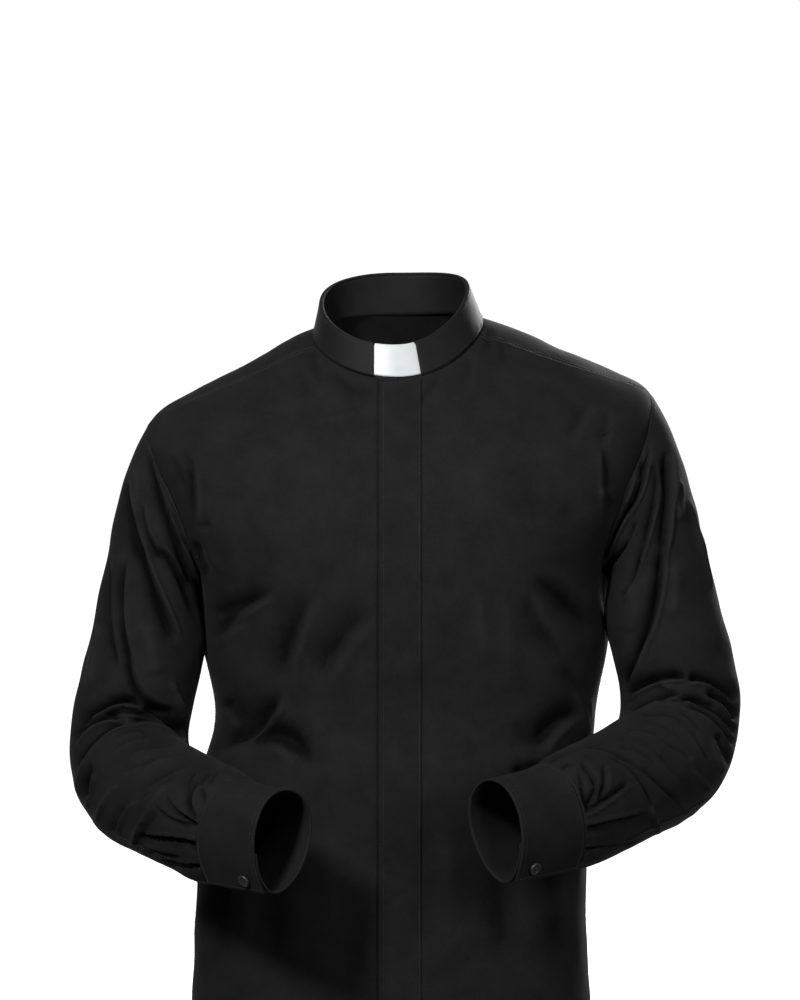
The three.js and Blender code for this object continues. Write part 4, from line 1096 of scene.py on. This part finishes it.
def tab_cloth():
    """A thin strip that lies in the tunnel and bulges into the window."""
    angles = np.linspace(-WINDOW - TAB_HIDDEN, WINDOW + TAB_HIDDEN, TAB_COLUMNS)
    height = collar_height(angles)
    inside = np.abs(angles) <= WINDOW - 0.5 * DEGREE
    foot = TAB_FOOT / height
    rim = np.where(inside, TAB_RIM, TAB_RIM_HIDDEN)
    b = foot + (1 - rim / height - foot) * np.linspace(0, 1, TAB_ROWS)[:, None]
    grid = collar_surface(np.broadcast_to(angles, b.shape), b)
    bulge = np.where(inside, TAB_BULGE * np.cos(np.clip(angles / WINDOW, -1, 1) * SIDE), 0)
    return Cloth(grid, TAB_THICKNESS, lift=np.broadcast_to(bulge, b.shape))


def collar_pieces():
    """Adds the stand, the collar and the tab, and returns their stitches."""
    add_piece("collar_stand", stand_cloth(), COLLAR_BLACK)
    outer = outer_cloth()
    add_piece("collar", outer, COLLAR_BLACK)
    runs = [stitch_run(outer, *row_line(outer, COLLAR_STITCH))]
    top_row = OUTER_ROWS - 2
    runs.append(stitch_run(outer, np.full(LINE_STEPS, float(top_row)),
                           np.linspace(1, COLLAR_COLUMNS - 2, LINE_STEPS)))
    runs += edge_stitches(outer, COLLAR_STITCH, (1, top_row))
    piece = build_cloth("tab_insert_strip", tab_cloth(), TAB_WHITE)
    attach(piece, "root")
    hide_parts("tab_insert")
    return runs


# Sleeves

class Arm:
    """The line through the middle of a sleeve and its frame at a distance along it."""

    def __init__(self, sleeve):
        self.side = sleeve["side"]
        corners = ("shoulder", "elbow", "wrist", "end")
        shoulder, elbow, wrist, end = (np.array(sleeve[name], float) for name in corners)

        def towards(start, goal, distance):
            return start + (goal - start) * distance / np.linalg.norm(goal - start)

        elbow_in, elbow_out = (towards(elbow, goal, sleeve["elbow_round"]) for goal in (shoulder, wrist))
        wrist_in, wrist_out = towards(wrist, elbow, WRIST_ROUND), towards(wrist, end, WRIST_ROUND)
        t = np.linspace(0, 1, 300)[:, None]
        parts = []
        stretches = ((shoulder, None, elbow_in), (elbow_in, elbow, elbow_out), (elbow_out, None, wrist_in),
                     (wrist_in, wrist, wrist_out), (wrist_out, None, end))
        for start, corner, goal in stretches:
            if corner is None:
                parts.append(start + (goal - start) * t)
            else:
                parts.append((1 - t) ** 2 * start + 2 * t * (1 - t) * corner + t * t * goal)
        line = np.concatenate([parts[0]] + [part[1:] for part in parts[1:]])
        steps = np.linalg.norm(np.diff(line, axis=0), axis=1)
        self.line, self.places = line, np.concatenate([[0], np.cumsum(steps)])
        self.length = self.places[-1]
        self.forward = unit(np.gradient(line, self.places, axis=0))
        self.bend_axis = unit(np.cross(elbow - shoulder, wrist - elbow)) * -self.side
        self.seam = self.length - CUFF_LENGTH

    def frame(self, along):
        clipped = np.clip(along, 0, self.length)

        def look(values):
            return np.stack([np.interp(clipped, self.places, values[:, k]) for k in range(3)], -1)

        forward = unit(look(self.forward))
        centre = look(self.line) + forward * (along - clipped)[..., None]
        flex = unit(np.cross(self.bend_axis, forward)) * -self.side
        across = unit(np.cross(flex, forward)) * self.side
        return centre, flex, across

    def section(self, turn, along, inset=0.0):
        centre, flex, across = self.frame(along)
        before = self.seam - along
        size = {name: column(SECTIONS, SECTION_COLUMNS, name, before) for name in ("across", "flex", "drop")}
        narrow = 1 + size["drop"] * np.sin(turn)
        return (centre + across * ((size["across"] - inset) * np.cos(turn) * narrow)[..., None]
                + flex * ((size["flex"] - inset) * np.sin(turn))[..., None])


def sleeve_start(side, turn):
    def edge_point(at):
        angle, v = armhole_at(side, at)
        return body(angle, v)

    angle, v = armhole_at(side, turn)
    point = edge_point(turn)
    out = normals_of(body, angle, v)
    along = edge_point(turn + 1e-3) - edge_point(turn - 1e-3)
    centre = body(np.array(side * SIDE), np.array((ARMHOLE_LOW + ARMHOLE_HIGH) / 2))
    inward = unit(np.cross(out, along))
    inward = inward * np.where((inward * (centre - point)).sum(-1) < 0, -1, 1)[:, None]
    up = (1 + np.cos(turn)) / 2
    fall = CAP_FALL_TOP * (2 * up - up * up)
    heading = unit(np.stack([side * np.cos(fall), -CAP_SPREAD * np.sin(turn), -np.sin(fall)], -1))
    outward, within = (heading * out).sum(-1), (heading * inward).sum(-1)
    rise = outward / np.hypot(outward, within)
    point = point + inward * 0.1 + out * (0.5 * np.maximum(rise, 0))[:, None]
    return point, heading, up


def sleeve_surface(arm, turns, heights):
    """Plain sleeve over a grid: the cap's smooth curves from the armhole, then the tube of sections."""
    point, heading, up = sleeve_start(arm.side, turns)
    at_end = np.full_like(turns, CAP_LENGTH)
    reached = arm.section(turns - BEND_TURN, at_end)
    arriving = unit(arm.section(turns - BEND_TURN, at_end + 1) - reached)
    leave, arrive = mix(CAP_START[0], CAP_START[1], up), mix(CAP_END[0], CAP_END[1], up)
    rows = []
    for along in heights:
        if along >= CAP_LENGTH:
            rows.append(arm.section(turns - BEND_TURN, np.full_like(turns, along)))
            continue
        t = along / CAP_LENGTH
        rows.append(point * ((1 + 2 * t) * (1 - t) ** 2) + reached * (t * t * (3 - 2 * t))
                    + heading * (leave * t * (1 - t) ** 2)[:, None]
                    - arriving * (arrive * t * t * (1 - t))[:, None])
    return np.stack(rows)


def crease_sleeve(points, normals, name):
    folds = both_sides(points, normals, SLEEVE_TABLES[name], SLEEVE_STYLE, SLEEVE_STYLE)
    return folds + ripples(points, SLEEVE_RIPPLE)


def lathe(profile, segments):
    turn = np.linspace(0, 2 * math.pi, segments, endpoint=False)
    points = np.array([[r * math.cos(t), r * math.sin(t), h] for r, h in profile for t in turn])
    quads = []
    for ring in range(len(profile) - 1):
        for k in range(segments):
            n = (k + 1) % segments
            low, high = ring * segments, (ring + 1) * segments
            quads.append((low + k, low + n, high + n, high + k))
    return points, np.array(quads)


# Button: radius and height along its half section from the underside over the rim, and its four holes
BUTTON_PROFILE = ((0.02, 0.0), (4.6, 0.0), (5.3, 0.25), (5.6, 0.8), (5.6, 1.7), (5.45, 2.15), (5.1, 2.45),
                  (4.6, 2.6), (4.1, 2.5), (3.7, 2.15), (3.4, 1.85), (3.0, 1.75))
BUTTON_SEGMENTS, BUTTON_MIDDLE = 48, 1.72
HOLE_PLACE, HOLE_RADIUS, HOLE_DEPTH = 1.25, 0.62, 1.2


def button_mesh(name, place, out, thread_runs):
    """A round button with a raised rim, four sunk holes and two bars of thread."""
    inner = [(r, BUTTON_MIDDLE) for r in np.arange(2.8, 0.05, -0.2)] + [(0.02, BUTTON_MIDDLE)]
    points, quads = lathe(list(BUTTON_PROFILE) + inner, BUTTON_SEGMENTS)
    for k in range(4):
        turn = 45 * DEGREE + k * SIDE
        spot = np.array([math.cos(turn), math.sin(turn)]) * HOLE_PLACE * 1.2
        away = np.linalg.norm(points[:, :2] - spot, axis=1)
        sunk = (points[:, 2] > 1.6) * smooth(HOLE_RADIUS + 0.18, HOLE_RADIUS - 0.15, away)
        points[:, 2] -= HOLE_DEPTH * sunk
    axis = unit(np.cross(np.array([0.0, 0.0, 1.0]), out)) if abs(out[2]) < 0.999 else np.array([1.0, 0, 0])
    side = np.cross(out, axis)
    frame_axes = np.stack([axis, side, out])
    piece = build_mesh(name, points @ frame_axes + place, quads)
    piece.data.materials.append(BUTTON_BLACK)
    for sign in (-1, 1):
        start = np.array([-HOLE_PLACE * 0.85, sign * HOLE_PLACE * 0.85, 1.75])
        thread_runs.append(bar(start, start * [-1, 1, 1], 0.55, frame_axes, place))
    return piece


BAR_SIDES, BAR_RINGS = 6, 7


def bar(start, end, girth, axes, place):
    """A rounded length of thread over a button, from hole to hole."""
    rings = []
    for share in np.linspace(0, 1, BAR_RINGS):
        middle = start + (end - start) * share + np.array([0, 0, 0.35 * math.sin(math.pi * share) - 0.25])
        for a in np.linspace(0, 2 * math.pi, BAR_SIDES, False):
            rings.append(middle + girth / 2 * np.array([0, math.cos(a), math.sin(a)]))
    quads = []
    for r in range(BAR_RINGS - 1):
        low, high = r * BAR_SIDES, (r + 1) * BAR_SIDES
        for k in range(BAR_SIDES):
            n = (k + 1) % BAR_SIDES
            quads.append((low + k, low + n, high + n, high + k))
    return np.array(rings) @ axes + place, np.array(quads)


# Sleeves: how far from the armhole and the cuff the folds set in, the rows and the columns that the slit's
# strip takes up, its columns and its lift, and the stitch lines of armhole, slit and cuff
FOLDS_FROM_ARMHOLE, FOLDS_FROM_CUFF = 14, 5
SLIT_ROWS, SLIT_FROM, SLIT_TO, SLIT_COLUMNS, SLIT_LIFT = 80, -18.8, -6.4, 12, 0.35
ARMHOLE_STITCH, SLIT_STITCH, SLIT_BAR, CUFF_END_STITCH = 5.5, 2.0, 14.0, 3.0


def sleeve_cloth(arm, name):
    turns = np.linspace(0, 2 * math.pi, SLEEVE_COLUMNS, endpoint=False)
    cap = spaced(0, CAP_LENGTH, SLEEVE_STEP)[:-1]
    heights = np.concatenate([cap, spaced(CAP_LENGTH, arm.seam - GAP, SLEEVE_STEP)])
    plain = sleeve_surface(arm, turns, heights)
    normals = grid_normals(plain, True, arm.side)
    ends = smooth(0, FOLDS_FROM_ARMHOLE, heights) * smooth(0, FOLDS_FROM_CUFF, arm.seam - heights)
    hollow = crease_sleeve(plain, normals, name) * ends[:, None]
    sleeve = Cloth(plain - normals * hollow[..., None], CLOTH, closed=True, facing=arm.side)
    # The folds' depth also sets painted shade in the troughs and painted highlight on the ridges
    sleeve.hollow = hollow
    depth = seam_groove(sleeve.from_foot, 0.1) + seam_groove(sleeve.from_top, 0.3)
    depth = depth + pucker(sleeve.from_first, sleeve.from_foot, 3.5, 0.35, seed=1.3 * arm.side)
    depth = depth + pucker(sleeve.from_first, sleeve.from_top, 4, 0.45, seed=2.1 * arm.side)
    sleeve.press(depth)
    sleeve.refresh()
    return sleeve


def slit_cloth(sleeve):
    """The strip on the outer back of the sleeve, up from the cuff seam."""
    total = sleeve.middle.shape[0]
    rows = np.arange(total - SLIT_ROWS, total - 1)
    columns = np.linspace(SLIT_FROM, SLIT_TO, SLIT_COLUMNS)
    row_grid, column_grid = np.meshgrid(rows, columns, indexing="ij")
    spots, out = sleeve.at(row_grid.ravel().astype(float), column_grid.ravel(), lift=SLIT_LIFT)
    strip = Cloth(spots.reshape(len(rows), len(columns), 3), SLIT_CLOTH, facing=sleeve.facing)
    # The strip takes the painted shade and highlight of one column of the sleeve beneath it
    strip.hollow = sleeve.hollow[-SLIT_ROWS:-1, -13:-12] * np.ones(len(columns))
    return strip


def cuff_turns():
    round_turns = np.linspace(CUFF_TURN, CUFF_TURN + 2 * math.pi + CUFF_INSIDE, CUFF_COLUMNS)
    tail = np.linspace(CUFF_TURN - CUFF_TAIL_TURN, CUFF_TURN, CUFF_TAIL_COLUMNS + 1)[:-1]
    return np.concatenate([tail, round_turns])


def cuff_cloth(arm):
    """An open strip whose outer end hangs free, with its other end inside."""
    turns = cuff_turns()
    heights = np.linspace(arm.seam + GAP, arm.length, CUFF_ROWS)
    a, b = np.meshgrid(turns, heights)
    inset = CUFF_INSET * smooth(250 * DEGREE, 305 * DEGREE, a)
    points = arm.section(np.maximum(a, CUFF_TURN), b, inset)
    corner = arm.section(np.full_like(a, CUFF_TURN), b)
    down = unit(corner - arm.section(np.full_like(a, CUFF_TURN + 0.01), b))
    tail = np.maximum(0, (CUFF_TURN - a) / CUFF_TAIL_TURN) * CUFF_TAIL
    points = points + down * tail[..., None]
    cuff = Cloth(points, CUFF_CLOTH, facing=arm.side)
    press = ripples(cuff.middle, 0.6) + seam_groove(cuff.from_foot, 0.3)
    cuff.press(press + pucker(cuff.from_first, cuff.from_foot, 3, 0.2, seed=arm.side))
    cuff.refresh()
    return cuff


def add_button(name, cuff):
    """The button near the cuff's free end, and its thread."""
    turns = cuff_turns()
    turn = CUFF_TURN - CUFF_TAIL_TURN * (1 - BUTTON_FROM_END / CUFF_TAIL)
    column_at = np.interp(turn, turns, np.arange(len(turns)))
    spot, out = cuff.at(np.array([BUTTON_PLACE * (CUFF_ROWS - 1.0)]), np.array([column_at]), lift=0.3)
    threads = []
    button = button_mesh(f"cuff_button_{name}_disc", spot[0], out[0], threads)
    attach(button, "root")
    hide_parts(f"cuff_button_{name}")
    return threads


def sleeve_pieces(name):
    """Adds a sleeve, its slit's strip, its cuff and the button, and returns their stitches."""
    arm = Arm(SLEEVES[name])
    sleeve = sleeve_cloth(arm, name)
    add_piece(f"sleeve_{name}", sleeve, CLOTH_BLACK)
    runs = [stitch_run(sleeve, *row_line(sleeve, ARMHOLE_STITCH))]
    strip = slit_cloth(sleeve)
    add_piece(f"sleeve_placket_{name}", strip, CLOTH_BLACK)
    runs += edge_stitches(strip, SLIT_STITCH)
    for distance in (SLIT_STITCH, SLIT_BAR):
        runs.append(stitch_run(strip, *row_line(strip, distance)))
    cuff = cuff_cloth(arm)
    add_piece(f"cuff_{name}", cuff, CLOTH_BLACK)
    outer_columns = (1.0, 128.0)
    runs.append(stitch_run(cuff, *row_line(cuff, 2.0, "foot", outer_columns)))
    runs.append(stitch_run(cuff, *row_line(cuff, 5.0, "top", outer_columns)))
    runs.append(stitch_run(cuff, *column_line(cuff, CUFF_END_STITCH, "first")))
    return runs + add_button(name, cuff)


stitches = {
    "body_stitches": body_pieces(),
    "collar_stitches": collar_pieces(),
    "sleeve_right_stitches": sleeve_pieces("right"),
    "sleeve_left_stitches": sleeve_pieces("left"),
}
for stitch_name, stitch_runs in stitches.items():
    build_stitches(stitch_name, stitch_runs, THREAD_BLACK)

# Camera, floor and light

SENSOR, VIEW_HEIGHT = 36, 1000 * VIEW_STEP
FLOOR_REACH, FLOOR_LEVEL = 70, -0.80

camera_data = bpy.data.cameras.new("camera")
camera_data.lens = SENSOR * EYE_DISTANCE / VIEW_HEIGHT
camera_data.clip_end = 50
camera = bpy.data.objects.new("camera", camera_data)
camera.location = (0, -EYE_DISTANCE * MM, EYE_HEIGHT * MM)
camera.rotation_euler = (math.pi / 2, 0, 0)
bpy.context.collection.objects.link(camera)
bpy.context.scene.camera = camera

floor_mesh = bpy.data.meshes.new("floor")
corners = [(x * FLOOR_REACH, y * FLOOR_REACH, FLOOR_LEVEL) for x, y in ((-1, -1), (1, -1), (1, 1), (-1, 1))]
floor_mesh.from_pydata(corners, [], [(0, 1, 2, 3)])
floor = bpy.data.objects.new("floor", floor_mesh)
bpy.context.collection.objects.link(floor)
floor_mesh.materials.append(node_material("pale_floor", {
    "Base Color": (0.9, 0.9, 0.9, 1), "Roughness": 0.9,
    "Emission Color": (1, 1, 1, 1), "Emission Strength": 1.0})[0])
floor.visible_diffuse = False
floor.visible_glossy = False

# The surroundings are dark on the photo's side and bright behind the shirt, where they show
world = bpy.data.worlds.new("studio")
bpy.context.scene.world = world
world.use_nodes = True
world_nodes, world_links = world.node_tree.nodes, world.node_tree.links
direction = world_nodes.new("ShaderNodeTexCoord")
parts = world_nodes.new("ShaderNodeSeparateXYZ")
world_links.new(direction.outputs["Generated"], parts.inputs[0])
behind = world_nodes.new("ShaderNodeMapRange")
set_inputs(behind, {"From Min": 0.5, "From Max": 0.92, "To Min": 0.12, "To Max": 1.05})
world_links.new(parts.outputs["Y"], behind.inputs["Value"])
world_nodes["Background"].inputs["Color"].default_value = (1, 1, 1, 1)
world_links.new(behind.outputs["Result"], world_nodes["Background"].inputs["Strength"])
bpy.context.scene.view_settings.view_transform = "Standard"

# Columns: name, place, size, power, aim, spread in degrees
LIGHTS = (
    ("key", (-1.1, -2.0, 1.1), 0.4, 15.5, (0.05, -0.1, -0.2), 80),
    ("fill", (1.4, -2.4, 0.4), 0.8, 10, (0.05, -0.1, -0.24), 95),
    ("back", (1.3, 2.3, 1.1), 0.9, 26, (0, 0, -0.3), 90),
)
for light_name, place, size, power, aim, spread in LIGHTS:
    light_data = bpy.data.lights.new(light_name, "AREA")
    light_data.size = size
    light_data.energy = power
    light_data.spread = spread * DEGREE
    light = bpy.data.objects.new(light_name, light_data)
    light.location = place
    away = np.array(place) - np.array(aim)
    tilt = math.atan2(math.hypot(away[0], away[1]), away[2])
    light.rotation_euler = (tilt, 0, math.atan2(away[1], away[0]) + SIDE)
    bpy.context.collection.objects.link(light)
